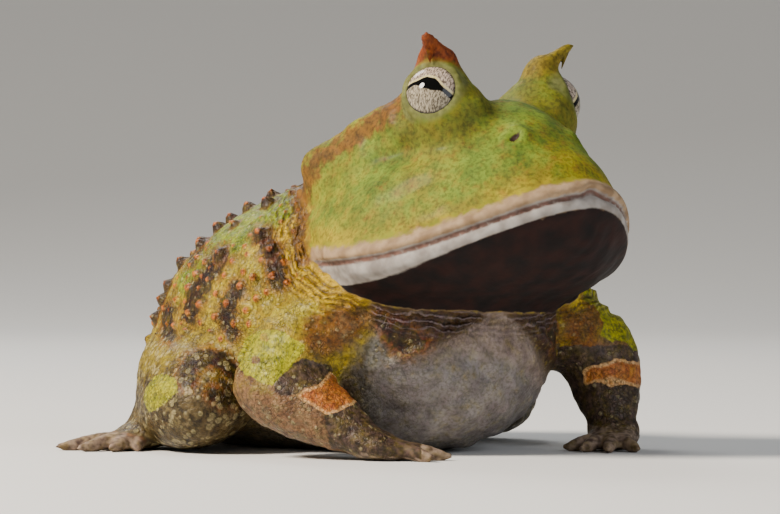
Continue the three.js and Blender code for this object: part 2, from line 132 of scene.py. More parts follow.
def cloud(points: Array, size: float, seed: int, octaves: int = 3) -> Array:
    """Noise of several sizes, each half as large and half as strong as the one before."""
    total = np.zeros(len(points))
    for i in range(octaves):
        total += value_noise(points, size / 2**i, seed + 31 * i) / 2**i
    return total / 1.6


def cells(points: Array, size: float, seed: int) -> tuple[Array, Array]:
    """Distance to the nearest of one jittered point in each cube of a lattice.

    Args:
        points: places in millimetres, shaped (n, 3).
        size: the lattice's spacing in millimetres.
        seed: picks the jitter.

    Returns:
        The distance as a share of the spacing, and a random number of that nearest point.
    """
    scaled = points / size
    base = np.floor(scaled)
    best = np.full(len(points), 9.0)
    number = np.zeros(len(points))
    for offset in np.ndindex(3, 3, 3):
        cell = base + (np.array(offset) - 1)
        jitter = np.stack([lattice_hash(cell, seed + k) for k in range(3)], axis=1)
        distance = np.linalg.norm(cell + 0.15 + 0.7 * jitter - scaled, axis=1)
        nearer = distance < best
        best = np.where(nearer, distance, best)
        number = np.where(nearer, lattice_hash(cell, seed + 3), number)
    return best, number


# Rounded forms


def along(stations: Stations, v: Array, first_size: int = 3) -> Array:
    """Follows equally spaced stations with a smooth Catmull-Rom line.

    Past either end a form is its own mirror image, so places repeat and sizes change sign,
    and the form closes round where its sizes reach 0.

    Args:
        stations: rows of three places, then sizes.
        v: shares of the way from the first station to the last, 0 to 1.
        first_size: the first of up to three columns that hold sizes.

    Returns:
        One row for each share.
    """
    table = np.array(stations, float)
    flipped = table[[1, 2]].copy()
    flipped_end = table[[-2, -3]].copy()
    for end in (flipped, flipped_end):
        end[:, first_size : first_size + 3] *= -1
        if table.shape[1] == 7:
            end[:, 6] = abs(end[:, 6])
    padded = np.vstack([flipped[:1], table, flipped_end[:1]])
    at = np.clip(v, 0, 1) * (len(table) - 1)
    i = np.minimum(at.astype(int), len(table) - 2)
    t = (at - i)[:, None]
    a, b, c, d = (padded[i + k] for k in range(4))
    return b + 0.5 * t * (c - a + t * (2 * a - 5 * b + 4 * c - d + t * (3 * (b - c) + d - a)))


def on_side(stations: Stations, side: Side) -> Stations:
    """The same stations with their first number measured out from the midline."""
    return tuple((side.value * row[0], *row[1:]) for row in stations)


@dataclass
class Surface:
    """A closed surface: points in millimetres, shaped (n, 3), and its four-sided faces."""

    points: Array
    faces: Array
    part: str = ""

    def named(self, part: str) -> "Surface":
        """The same surface, marked as belonging to a part of the animal."""
        self.part = part
        return self

    @staticmethod
    def from_grid(grid: Array) -> "Surface":
        """Joins a grid of rings, each closed round, whose first and last rings are points.

        Args:
            grid: points shaped (rings, sides, 3).

        Returns:
            The surface, with four-sided faces from ring to ring.
        """
        rings, sides = grid.shape[:2]
        index = np.arange(rings * sides).reshape(rings, sides)
        turned = np.roll(index, -1, axis=1)
        faces = np.stack([index[:-1], turned[:-1], turned[1:], index[1:]], axis=-1)
        return Surface(grid.reshape(-1, 3), faces.reshape(-1, 4))


def upright_form(stations: Stations, sides: int = 72, rings: int = 70) -> Surface:
    """A form whose upright sections stand square to the frog's length.

    At each ring the section is a superellipse: across = width * cos(angle)^(2/squareness) and
    up = height * sin(angle)^(2/squareness), with one height above the middle and one below.

    Args:
        stations: across, back, up, half-width, height above, depth below, squareness.
        sides: points round each ring.
        rings: rings from end to end.

    Returns:
        The closed surface.
    """
    rows = along(stations, np.linspace(0, 1, rings))[:, None, :]
    angle = np.linspace(0, 2 * np.pi, sides, endpoint=False)[None, :]
    power = 2.0 / rows[..., 6]
    round_x = np.sign(np.cos(angle)) * np.abs(np.cos(angle)) ** power
    round_z = np.sign(np.sin(angle)) * np.abs(np.sin(angle)) ** power
    height = np.where(np.sin(angle) > 0, rows[..., 4], rows[..., 5])
    x = rows[..., 0] + rows[..., 3] * round_x
    y = rows[..., 1] + 0.0 * angle
    z = rows[..., 2] + height * round_z
    return Surface.from_grid(np.stack([x, y, z], axis=-1))


def bent_form(
    stations: Stations,
    sides: int = 32,
    rings: int = 48,
    reference: tuple[float, float, float] = (0, 0, 1),
) -> Surface:
    """A form along a bent line, with oval sections square to that line.

    Args:
        stations: across, back, up, half-width, half-thickness.
        sides: points round each ring.
        rings: rings from end to end.
        reference: the half-thickness lies as near to this direction as it can.

    Returns:
        The closed surface.
    """
    step = 0.01
    v = np.linspace(0, 1, rings)
    middle = np.clip(v, 2 * step, 1 - 2 * step)
    forward = along(stations, middle + step)[:, :3] - along(stations, middle - step)[:, :3]
    forward /= np.linalg.norm(forward, axis=1, keepdims=True)
    side = np.cross(forward, np.array(reference, float))
    side /= np.linalg.norm(side, axis=1, keepdims=True)
    lift = np.cross(side, forward)
    rows = along(stations, v)
    angle = np.linspace(0, 2 * np.pi, sides, endpoint=False)[None, :, None]
    grid = (
        rows[:, None, :3]
        + side[:, None] * rows[:, None, 3:4] * np.cos(angle)
        + lift[:, None] * rows[:, None, 4:5] * np.sin(angle)
    )
    return Surface.from_grid(grid)


def ellipsoid(
    centre: tuple[float, float, float], radii: tuple[float, float, float], rings: int = 40
) -> Surface:
    """A ball stretched to three radii: centre + radii * (cos a sin b, sin a sin b, cos b)."""
    b = np.linspace(0, np.pi, rings)[:, None]
    a = np.linspace(0, 2 * np.pi, 2 * rings, endpoint=False)[None, :]
    grid = np.stack([np.cos(a) * np.sin(b), np.sin(a) * np.sin(b), np.cos(b) + 0 * a], axis=-1)
    return Surface.from_grid(np.array(centre) + np.array(radii) * grid)


# The frog's parts


@dataclass(frozen=True)
class HeadPose:
    """Where the head stands: pitched up and rolled about the line between its mouth corners."""

    pitch: float = math.radians(16.5)
    roll: float = math.radians(2.4)
    joint: tuple[float, float, float] = (0.0, -11.64, 27.3)

    def turn(self) -> Array:
        """The head's rotation: the pitch about X, then the roll about Y."""
        cp, sp = math.cos(-self.pitch), math.sin(-self.pitch)
        cr, sr = math.cos(self.roll), math.sin(self.roll)
        about_x = np.array([[1, 0, 0], [0, cp, -sp], [0, sp, cp]])
        about_y = np.array([[cr, 0, sr], [0, 1, 0], [-sr, 0, cr]])
        return about_y @ about_x

    def to_frog(self, points: Array) -> Array:
        """Places given in the head's frame, in the frog's frame."""
        return points @ self.turn().T + np.array(self.joint)

    def to_head(self, points: Array) -> Array:
        """Places given in the frog's frame, in the head's frame."""
        return (points - np.array(self.joint)) @ self.turn()


@dataclass(frozen=True)
class Mouth:
    """The line of the mouth, which dips along the side of the head."""

    length: float = 30.2
    sag: float = 3.4
    sag_start: float = 6.0
    sag_heights: tuple[float, float] = (4.0, 14.0)
    lip_radius: float = 1.3
    upper_lip: float = 0.95
    lower_lip: float = -1.1
    outset: float = -0.45
    first_station: int = 3

    def dip(self, back: Array) -> Array:
        """Half a sine wave from behind the mouth's corner to the snout, sag deep."""
        share = (self.sag_start - back) / (self.sag_start + self.length + 1.3)
        return -self.sag * np.sin(np.pi * np.clip(share, 0, 1))

    def bent(self, surface: Surface) -> Surface:
        """Lowers a form by the dip, whole near the mouth and not at all near the head's top."""
        height = surface.points[:, 2]
        share = 1 - smoothstep(*self.sag_heights, height)
        surface.points[:, 2] = height + share * self.dip(surface.points[:, 1])
        return surface

    def lip(self, stations: Stations, height: float) -> Surface:
        """A rounded cord along the outline of the head or jaw.

        Args:
            stations: the head's or jaw's stations, whose half-widths the cord follows.
            height: how high the cord's middle is, in the head's frame.

        Returns:
            The cord, tapering to a point at each corner of the mouth.
        """
        last = len(stations) - 1
        steps = 4 * (last - self.first_station)
        first = self.first_station / last
        turn = np.linspace(-1, 1, steps + 1)
        rows = along(stations, 1 - (1 - first) * np.abs(turn))
        across = -np.sign(turn)
        x = across * (rows[:, 3] + self.outset)
        y = rows[:, 1] - np.where(across == 0, self.outset, 0)
        size = np.where(np.abs(turn) == 1, 0.0, self.lip_radius)
        cord = np.stack([x, y, np.full_like(x, height), size, size], axis=1)
        return bent_form(tuple(map(tuple, cord)), 20, 240)


@dataclass
class Eye:
    """One eye: a glossy ball, half sunk in its mound, and the direction it looks in."""

    side: Side
    radius: float = 4.3
    place: tuple[float, float, float] = (10.4, -14.3, 18.2)
    gaze: tuple[float, float, float] = (0.8, -0.56, 0.2)
    lid_radius: float = 3.98
    lid_thickness: float = 0.55
    lid_depth: float = 2.1
    slit_tilt: float = math.radians(24)
    horn: Stations = (
        (0.3, -1.5, -2.6, 0, 0),
        (0.3, 0.8, -1.4, 3.2, 4.7),
        (0.6, 3.2, -0.3, 3.0, 4.1),
        (0.85, 4.89, 0.73, 2.3, 3.0),
        (0.95, 5.5, 2.1, 1.3, 2.4),
        (1.05, 6.2, 3.7, 0.8, 1.3),
        (0.95, 6.7, 5.2, 0.6, 0.95),
        (1.1, 6.9, 6.3, 0, 0),
    )

    def centre(self) -> Array:
        """The ball's middle, in the head's frame."""
        return np.array(self.place) * np.array([self.side.value, 1, 1])

    def look(self) -> Array:
        """The unit direction that the eye looks in, in the head's frame."""
        towards = np.array(self.gaze) * np.array([self.side.value, 1, 1])
        return towards / np.linalg.norm(towards)

    def axes(self) -> Array:
        """Rows: along the eye's slit towards the snout, up across it, and out of the eye."""
        out = self.look()
        ahead = np.cross(out, [0, 0, 1]) * self.side.value
        ahead /= np.linalg.norm(ahead)
        up = np.cross(ahead, out) * self.side.value
        return np.stack([ahead, up, out])

    def brow(self) -> Surface:
        """The horn: a soft flap that rises from the upper lid and leans out over the eye.

        Its stations are ahead, up and out from the ball's middle, then half its thickness and
        half its width.
        """
        form = bent_form(self.horn, 32, 70, (1, 0, 0))
        form.points = self.centre() + form.points @ self.axes()
        return form

    def lid(self, rings: int = 72, sides: int = 24) -> Surface:
        """The rim of the lids: a ring round the eye's gaze, thicker above than below."""
        ahead, up, out = self.axes()
        turn = np.linspace(0, 2 * np.pi, rings + 1)[:, None, None]
        round_it = np.linspace(0, 2 * np.pi, sides, endpoint=False)[None, :, None]
        radial = ahead * np.cos(turn) + up * np.sin(turn)
        thick = self.lid_thickness * (1 + 0.12 * np.sin(turn))
        middle = self.centre() + out * self.lid_depth + radial * self.lid_radius
        grid = middle + thick * (radial * np.cos(round_it) + out * np.sin(round_it))
        return Surface.from_grid(grid)


@dataclass
class Head:
    """The head above the mouth, with the mounds that carry the eyes, horns and temples."""

    pose: HeadPose
    mouth: Mouth
    eyes: tuple[Eye, Eye]
    stations: Stations = (
        (0, 13.0, 7.0, 0, 0, 0, 2.0),
        (0, 12.0, 6.0, 9.4, 5.6, 6.0, 2.0),
        (0, 8.5, 3.0, 16.8, 12.6, 7.0, 2.1),
        (0, 3.0, 1.2, 20.4, 15.6, 6.0, 2.0),
        (0, -3.5, 0.8, 21.2, 16.6, 5.5, 1.8),
        (0, -10.0, 0.8, 19.8, 17.2, 5.0, 1.6),
        (0, -16.0, 0.8, 17.2, 17.2, 4.5, 1.5),
        (0, -21.0, 0.8, 14.0, 14.6, 4.0, 1.5),
        (0, -25.0, 0.8, 10.4, 10.8, 3.5, 1.7),
        (0, -28.0, 0.9, 6.8, 6.9, 3.0, 1.9),
        (0, -29.6, 1.1, 3.6, 3.4, 2.4, 2.0),
        (0, -30.2, 1.2, 0, 0, 0, 2.0),
    )
    temple: Stations = (
        (9.6, -13.0, 15.8, 0, 0),
        (10.8, -10.0, 16.4, 2.7, 4.1),
        (12.2, -4.0, 15.2, 2.9, 4.6),
        (13.4, 2.0, 13.7, 3.2, 5.0),
        (13.6, 7.4, 12.2, 3.5, 5.2),
        (13.0, 11.4, 10.0, 0, 0),
    )
    mound: tuple[float, float, float] = (8.2, -12.8, 15.4)
    mound_radii: tuple[float, float, float] = (5.6, 6.8, 6.4)
    nostril: tuple[float, float, float] = (5.7, -23.5, 10.1)

    def surfaces(self) -> list[Surface]:
        """The head's forms in the frog's frame."""
        made = [
            self.mouth.bent(upright_form(self.stations, 96, 110)).named("head"),
            self.mouth.bent(self.mouth.lip(self.stations, self.mouth.upper_lip)).named("head"),
        ]
        for eye in self.eyes:
            side = eye.side
            out, back, up = self.mound
            made += [
                ellipsoid((side.value * out, back, up), self.mound_radii).named("mound"),
                bent_form(on_side(self.temple, side), 32, 60).named("head"),
                ellipsoid(tuple(eye.centre() - 0.9 * eye.look()), (4.65,) * 3).named("mound"),
                eye.brow().named("horn"),
                eye.lid().named("lid"),
            ]
        for surface in made:
            surface.points = self.pose.to_frog(surface.points)
        return made


@dataclass
class Jaw:
    """The lower jaw and throat."""

    pose: HeadPose
    mouth: Mouth
    stations: Stations = (
        (0, 11.0, -3.0, 0, 0, 0, 2.0),
        (0, 9.4, -2.2, 11.0, 3.0, 5.4, 2.0),
        (0, 4.5, -0.6, 18.0, 2.2, 7.0, 2.1),
        (0, -2.0, -0.4, 20.8, 2.0, 6.6, 2.1),
        (0, -9.5, -0.4, 19.4, 2.0, 5.9, 2.1),
        (0, -15.6, -0.4, 16.8, 2.0, 5.5, 2.1),
        (0, -20.6, -0.4, 13.6, 2.0, 5.4, 2.1),
        (0, -24.6, -0.4, 10.0, 2.0, 4.7, 2.1),
        (0, -27.5, -0.4, 6.5, 1.8, 3.8, 2.0),
        (0, -29.1, -0.4, 3.4, 1.4, 2.6, 2.0),
        (0, -29.7, -0.6, 0, 0, 0, 2.0),
    )

    def surfaces(self) -> list[Surface]:
        """The jaw's forms in the frog's frame."""
        made = [
            self.mouth.bent(upright_form(self.stations, 96, 110)).named("jaw"),
            self.mouth.bent(self.mouth.lip(self.stations, self.mouth.lower_lip)).named("jaw"),
        ]
        for surface in made:
            surface.points = self.pose.to_frog(surface.points)
        return made


# Brings the middle of the outline, seen from above, to the origin
SHIFT = np.array([0.0, 0.36, 0.0])


@dataclass
class Torso:
    """The back, flanks, chest and belly."""

    stations: Stations = (
        (0, 41.0, 12.0, 0, 0, 0, 2.0),
        (0, 39.4, 12.0, 8.0, 6.8, 7.4, 2.0),
        (0, 34.5, 12.6, 16.0, 12.8, 12.6, 2.1),
        (0, 26.5, 13.4, 22.0, 18.0, 14.6, 2.2),
        (0, 17.0, 14.4, 24.8, 21.4, 15.4, 2.25),
        (0, 7.0, 15.0, 24.6, 24.0, 15.8, 2.2),
        (0, -3.0, 15.6, 22.4, 24.6, 16.0, 2.15),
        (0, -11.0, 16.0, 19.4, 20.4, 15.6, 2.1),
        (0, -17.5, 16.2, 14.8, 13.4, 13.6, 2.1),
        (0, -21.8, 16.0, 8.4, 7.0, 8.2, 2.0),
        (0, -23.2, 15.8, 0, 0, 0, 2.0),
    )

    def surfaces(self) -> list[Surface]:
        """The torso's form in the frog's frame."""
        form = upright_form(self.stations, 96, 90).named("torso")
        form.points = form.points + SHIFT
        return [form]

    def on_back(self, angle: Array, v: Array) -> Array:
        """Places on the torso's upper surface.

        Args:
            angle: from 0 on the left flank over the back to pi on the right.
            v: shares of the way from the vent to the chest.

        Returns:
            The places, by the superellipse of the torso's own form.
        """
        rows = along(self.stations, v)
        power = 2 / rows[:, 6]
        x = rows[:, 3] * np.sign(np.cos(angle)) * np.abs(np.cos(angle)) ** power
        z = rows[:, 2] + rows[:, 4] * np.abs(np.sin(angle)) ** power
        return np.stack([x, rows[:, 1], z], axis=1) + SHIFT


@dataclass
class Limb:
    """A leg or arm: three bent forms and a fan of digits from one root."""

    name: str
    side: Side
    lengths: dict[str, Stations]
    digits: tuple[tuple[float, float], ...]
    root: tuple[float, float, float]
    digit_radius: float = 1.3
    tip_radius: float = 0.8

    def digit(self, heading: float, length: float) -> Stations:
        """A finger or toe that arches a little and comes down on its tip.

        Args:
            heading: degrees from straight out, -90 straight ahead.
            length: from the root to the tip.

        Returns:
            The digit's stations.
        """
        out, back, up = self.root
        angle = math.radians(heading)
        dx, dy = math.cos(angle) * length, math.sin(angle) * length
        plan = (
            (-0.12, up, 0.0),
            (0.05, up, self.digit_radius),
            (0.45, up * 0.95, self.digit_radius * 0.9),
            (0.82, self.tip_radius * 0.85, self.tip_radius),
            (1.0, self.tip_radius * 0.8, 0.0),
        )
        return tuple((out + dx * s, back + dy * s, height, size, size) for s, height, size in plan)

    def surfaces(self) -> list[Surface]:
        """The limb's forms in the frog's frame."""
        made = [
            bent_form(on_side(form, self.side), 40, 60).named(part)
            for part, form in self.lengths.items()
        ]
        for heading, length in self.digits:
            digit = bent_form(on_side(self.digit(heading, length), self.side), 20, 40)
            made.append(digit.named("digit"))
        for surface in made:
            surface.points = surface.points + SHIFT
        return made


# Heading in degrees from straight out, and length
FINGERS = ((-192, 8.2), (-163, 9.0), (-136, 9.6), (-106, 8.6))
TOES = ((-52, 6.0), (-24, 8.4), (2, 10.6), (28, 12.0), (56, 8.6))


def right_arm() -> Limb:
    """The right arm, with its elbow out and back and its hand turned in."""
    return Limb(
        "right_arm",
        Side.RIGHT,
        {
            "upper_arm": (
                (10.5, -9.0, 20.9, 0, 0),
                (14.0, -8.4, 19.2, 7.2, 6.8),
                (19.4, -6.8, 16.2, 6.9, 6.5),
                (24.6, -4.8, 12.8, 5.9, 5.8),
                (28.2, -3.4, 10.6, 0, 0),
            ),
            "forearm": (
                (28.0, -1.2, 13.4, 0, 0),
                (27.0, -3.2, 11.6, 4.8, 4.8),
                (25.4, -7.4, 8.8, 5.9, 5.4),
                (22.8, -13.0, 5.8, 5.1, 4.5),
                (21.0, -17.6, 3.5, 3.6, 2.9),
                (19.8, -21.0, 2.0, 0, 0),
            ),
            "palm": (
                (22.0, -15.6, 3.7, 0, 0),
                (21.0, -18.0, 2.9, 3.5, 2.7),
                (19.4, -20.6, 1.9, 4.2, 2.1),
                (18.2, -22.4, 1.4, 3.6, 1.7),
                (17.2, -23.8, 1.1, 0, 0),
            ),
        },
        FINGERS,
        (19.0, -20.8, 1.4),
    )


def left_arm() -> Limb:
    """The left arm, upright below its elbow, with its hand turned in."""
    return Limb(
        "left_arm",
        Side.LEFT,
        {
            "upper_arm": (
                (10.5, -9.0, 20.9, 0, 0),
                (14.0, -10.4, 19.8, 7.2, 6.6),
                (18.8, -12.2, 18.2, 6.8, 6.4),
                (23.4, -13.8, 16.4, 5.9, 5.8),
                (27.2, -14.8, 14.8, 0, 0),
            ),
            "forearm": (
                (25.6, -12.2, 18.6, 0, 0),
                (25.6, -13.8, 16.4, 4.8, 4.8),
                (25.4, -16.0, 11.8, 5.7, 5.3),
                (24.6, -18.2, 7.4, 4.8, 4.4),
                (23.6, -19.8, 4.2, 3.5, 3.0),
                (22.8, -21.4, 1.8, 0, 0),
            ),
            "palm": (
                (25.2, -17.6, 4.2, 0, 0),
                (24.2, -19.4, 3.2, 3.5, 2.8),
                (22.6, -21.6, 2.0, 4.2, 2.1),
                (21.2, -23.2, 1.4, 3.6, 1.7),
                (20.0, -24.4, 1.1, 0, 0),
            ),
        },
        FINGERS,
        (22.0, -21.8, 1.4),
    )


def leg(side: Side) -> Limb:
    """A hind leg, folded against the flank with its foot out to the side."""
    return Limb(
        f"{side.name.lower()}_leg",
        side,
        {
            "thigh": (
                (4.0, 33.0, 12.0, 0, 0),
                (8.0, 30.5, 11.5, 7.6, 7.4),
                (16.0, 24.0, 10.0, 8.7, 8.4),
                (22.6, 14.6, 8.8, 7.9, 7.7),
                (26.0, 6.6, 8.0, 5.8, 6.0),
                (27.6, 2.2, 7.6, 0, 0),
            ),
            "shank": (
                (27.4, 2.4, 7.0, 0, 0),
                (27.6, 5.8, 6.8, 4.9, 5.0),
                (26.8, 12.0, 6.4, 6.2, 6.1),
                (24.0, 18.4, 6.2, 5.8, 5.8),
                (21.0, 23.8, 5.9, 5.0, 5.3),
                (18.8, 27.6, 5.5, 0, 0),
            ),
            "tarsus": (
                (17.4, 25.6, 5.4, 0, 0),
                (19.8, 25.2, 5.0, 4.0, 4.2),
                (24.0, 23.6, 3.4, 3.5, 3.2),
                (28.0, 21.9, 2.0, 3.8, 2.2),
                (31.0, 20.8, 1.4, 3.0, 1.6),
                (32.8, 20.2, 1.1, 0, 0),
            ),
        },
        TOES,
        (28.6, 21.6, 1.4),
    )


# The one skin


@dataclass
class Mesh:
    """The skin while it is worked on: points in millimetres, four-sided faces, and edges."""

    points: Array
    faces: Array
    edges: Array

    def normals(self) -> Array:
        """Unit normals: the sum of the crossed diagonals of the faces round each point."""
        corner = self.points[self.faces]
        cross = np.cross(corner[:, 2] - corner[:, 0], corner[:, 3] - corner[:, 1])
        total = np.zeros_like(self.points)
        for k in range(4):
            for axis in range(3):
                total[:, axis] += np.bincount(
                    self.faces[:, k], weights=cross[:, axis], minlength=len(self.points)
                )
        return total / np.maximum(np.linalg.norm(total, axis=1, keepdims=True), 1e-9)

    def neighbour_mean(self, values: Array) -> Array:
        """The mean of the values at the points that share an edge with each point."""
        a, b = self.edges.T
        count = np.bincount(a, minlength=len(values)) + np.bincount(b, minlength=len(values))
        columns = values.reshape(len(values), -1)
        total = np.stack(
            [
                np.bincount(a, weights=column[b], minlength=len(values))
                + np.bincount(b, weights=column[a], minlength=len(values))
                for column in columns.T
            ],
            axis=1,
        )
        return (total / np.maximum(count, 1)[:, None]).reshape(values.shape)

    def relax(self, share: Array, rounds: int) -> None:
        """Moves each point part of the way to its neighbours' mean, again and again.

        Args:
            share: how far each point goes, 0 to 1.
            rounds: how many times.
        """
        for _ in range(rounds):
            self.points += share[:, None] * (self.neighbour_mean(self.points) - self.points)


def new_object(name: str, points: Array, faces: Array) -> bpy.types.Object:
    """Makes a mesh object in metres from points in millimetres.

    Args:
        name: the object's name.
        points: shaped (n, 3).
        faces: four-sided faces, as point numbers.

    Returns:
        The linked object, at the origin.
    """
    mesh = bpy.data.meshes.new(name)
    mesh.vertices.add(len(points))
    mesh.vertices.foreach_set("co", (points * MM).astype(np.float32).ravel())
    mesh.loops.add(faces.size)
    mesh.loops.foreach_set("vertex_index", faces.astype(np.int32).ravel())
    mesh.polygons.add(len(faces))
    starts = np.arange(0, faces.size, faces.shape[1], dtype=np.int32)
    mesh.polygons.foreach_set("loop_start", starts)
    mesh.update(calc_edges=True)
    mesh.validate()
    mesh.polygons.foreach_set("use_smooth", np.ones(len(mesh.polygons), bool))
    made = bpy.data.objects.new(name, mesh)
    bpy.context.scene.collection.objects.link(made)
    return made


def note(made: bpy.types.Object, values: dict[str, Array]) -> None:
    """Keeps named values at each point of an object, for its material to read."""
    for name, column in values.items():
        attribute = made.data.attributes.new(name, "FLOAT", "POINT")
        attribute.data.foreach_set("value", column.astype(np.float32))


def one_surface(surfaces: list[Surface], grain: float) -> Mesh:
    """Fuses closed surfaces that pass through one another into their shared outer surface.

    Args:
        surfaces: the closed surfaces.
        grain: the size in millimetres of the cells that the new surface is drawn in.

    Returns:
        The outer surface as an even net of four-sided faces.
    """
    starts = np.cumsum([0] + [len(s.points) for s in surfaces[:-1]])
    points = np.vstack([s.points for s in surfaces])
    faces = np.vstack([s.faces + start for s, start in zip(surfaces, starts)])
    rough = new_object("rough", points, faces)
    remesh = rough.modifiers.new("cells", "REMESH")
    remesh.mode = "VOXEL"
    remesh.voxel_size = grain * MM
    remesh.use_smooth_shade = True
    fused = rough.evaluated_get(bpy.context.evaluated_depsgraph_get()).to_mesh()
    co = np.zeros(len(fused.vertices) * 3)
    fused.vertices.foreach_get("co", co)
    corner = np.zeros(len(fused.polygons) * 4, int)
    fused.loops.foreach_get("vertex_index", corner)
    edges = np.zeros(len(fused.edges) * 2, int)
    fused.edges.foreach_get("vertices", edges)
    made = Mesh(co.reshape(-1, 3) / MM, corner.reshape(-1, 4), edges.reshape(-1, 2))
    bpy.data.objects.remove(rough)
    return made


def parts_of(mesh: Mesh, surfaces: list[Surface]) -> Array:
    """Names the part of the animal that each point of a mesh came from: its nearest surface's.

    Args:
        mesh: the fused skin.
        surfaces: the named surfaces that it was fused from.

    Returns:
        One name for each point.
    """
    places = np.vstack([s.points for s in surfaces])
    names = np.concatenate([np.full(len(s.points), s.part) for s in surfaces])
    tree = KDTree(len(places))
    for i, place in enumerate(places):
        tree.insert(place, i)
    tree.balance()
    return names[[tree.find(point)[1] for point in mesh.points.tolist()]]


@dataclass(frozen=True)
class View:
    """The direction the animal is shown from, and the plane that its markings are laid out in.

    A place in that plane is (right, down), in steps of `step` millimetres at the aim point.
    """

    azimuth: float = math.radians(-40)
    elevation: float = math.radians(1)
    distance: float = 700.0
    aim: tuple[float, float, float] = (0.0, -5.64, 27.0)
    middle: tuple[float, float] = (420.0, 258.0)
    centre: tuple[float, float] = (390.0, 257.0)
    size: tuple[int, int] = (780, 514)
    step: float = 0.14

    def axes(self) -> Array:
        """Rows: to the right, up, and back towards the eye."""
        a, e = self.azimuth, self.elevation
        back = [math.sin(a) * math.cos(e), -math.cos(a) * math.cos(e), math.sin(e)]
        right = [math.cos(a), math.sin(a), 0.0]
        return np.array([right, np.cross(back, right), back])

    def lay(self, points: Array) -> Array:
        """Where places in the frog's frame, in millimetres, lie in the plane of the markings."""
        right, up, back = self.axes()
        apart = points - (np.array(self.aim) + back * self.distance)
        scale = self.distance / -(apart @ back) / self.step
        across = self.middle[0] + (apart @ right) * scale
        return np.stack([across, self.middle[1] - (apart @ up) * scale], axis=1)

    def camera(self) -> bpy.types.Object:
        """A long lens that stands at the view's distance and shows the whole plane."""
        right, up, back = self.axes()
        offset = (self.centre[0] - self.middle[0]) * self.step
        drop = (self.middle[1] - self.centre[1]) * self.step
        aim = np.array(self.aim) + right * offset + up * drop
        data = bpy.data.cameras.new("camera")
        data.sensor_width = 36.0
        data.lens = data.sensor_width * self.distance / (self.size[0] * self.step)
        made = bpy.data.objects.new("camera", data)
        made.matrix_world = Matrix.LocRotScale(
            Vector((aim + back * self.distance) * MM), Matrix(np.stack([right, up, back]).T), None
        )
        bpy.context.scene.collection.objects.link(made)
        bpy.context.scene.camera = made
        return made


VIEW = View()


def to_line(places: Array, line: Line) -> tuple[Array, Array]:
    """Distance to a chain of straight lines, and the share of the way along it.

    Args:
        places: in two or three dimensions, shaped (n, d).
        line: the corners of the chain.

    Returns:
        The distance from each place, and where along the chain the nearest point is, 0 to 1.
    """
    corners = np.array(line, float)
    best = np.full(len(places), 1e9)
    share = np.zeros(len(places))
    for i, (a, b) in enumerate(zip(corners[:-1], corners[1:])):
        t = np.clip((places - a) @ (b - a) / ((b - a) @ (b - a)), 0, 1)
        apart = np.linalg.norm(places - a - t[:, None] * (b - a), axis=1)
        share = np.where(apart < best, (i + t) / (len(corners) - 1), share)
        best = np.minimum(best, apart)
    return best, share


def in_outline(places: Array, outline: Line) -> Array:
    """Distance in from a closed outline, negative outside it.

    Args:
        places: in two dimensions, shaped (n, 2).
        outline: the corners in order.

    Returns:
        The signed distance, by counting the sides that a ray from each place crosses.
    """
    corners = np.array(outline, float)
    inside = np.zeros(len(places), bool)
    x, y = places.T
    for (ax, ay), (bx, by) in zip(corners, np.roll(corners, -1, axis=0)):
        if ay == by:
            continue
        crosses = (ay > y) != (by > y)
        inside ^= crosses & (x < ax + (y - ay) * (bx - ax) / (by - ay))
    edge, _ = to_line(places, (*outline, outline[0]))
    return np.where(inside, edge, -edge)


# Where the markings and warts lie in the view's plane


BLOTCHES = (
    ((221, 257), (212, 270), (204, 281), (197, 292), (189, 316)),
    ((237, 288), (230, 300), (226, 314), (232, 333)),
    ((269, 249), (275, 264), (278, 281)),
    ((169, 310), (168, 322), (169, 336)),
    ((186, 379), (188, 369), (196, 360), (208, 357), (220, 360), (232, 370)),
    ((261, 235), (271, 251)),
    ((200, 242), (190, 258)),
    ((379, 321), (392, 334), (405, 350)),
    ((396, 326), (419, 344)),
    ((213, 393), (222, 401), (231, 399)),
)
BLOTCH_WIDTHS = (8.0, 7.5, 8.5, 6.0, 8.5, 8.0, 7.0, 6.5, 6.5, 6.0)
BIG_WARTS = (
    (273, 194), (250, 209), (232, 220), (217, 227), (200, 240), (182, 262), (171, 286),
    (165, 300), (158, 318), (261, 235), (271, 251), (221, 256), (203, 246),
)  # fmt: skip
SMALL_WARTS = (
    (225, 276), (243, 272), (254, 277), (273, 275), (217, 295), (239, 286), (200, 303),
    (188, 314), (215, 316), (227, 303), (256, 298), (245, 310), (234, 323), (186, 340),
    (210, 335), (189, 286), (262, 262), (232, 262), (206, 262), (196, 274), (178, 300),
    (176, 326), (202, 324), (222, 340), (250, 326), (268, 291), (284, 262), (286, 284),
)  # fmt: skip
STRIPE = ((292, 190), (278, 206), (255, 220), (230, 236), (213, 250), (203, 268), (195, 285))
HEAD_RIM = (
    (303, 258), (299, 240), (301, 215), (300, 196), (304, 178), (318, 160), (340, 145),
    (362, 131), (386, 112), (402, 99),
)  # fmt: skip
ELBOW = (
    (235, 360), (245, 338), (261, 330), (283, 331), (291, 338), (305, 345), (303, 351),
    (293, 363), (281, 375), (271, 386), (258, 381), (242, 373),
)  # fmt: skip
ELBOW_DOTS = ((264, 337), (255, 360))
ORANGE_PATCH = (
    (303, 391), (320, 385), (328, 375), (336, 368), (348, 373), (370, 390), (361, 398),
    (349, 404), (336, 411), (326, 413), (313, 406), (298, 397),
)  # fmt: skip
ARM_DARK = (
    (273, 380), (284, 372), (298, 358), (312, 360), (332, 368), (318, 384), (300, 390),
    (288, 398), (273, 394),
)  # fmt: skip
WRIST_DARK = ((322, 416), (352, 404), (372, 390), (420, 400), (420, 460), (330, 450))
SHIN_PATCH = (
    (143, 400), (146, 388), (153, 377), (163, 373), (175, 378), (178, 390), (168, 400),
    (158, 408), (149, 413),
)  # fmt: skip
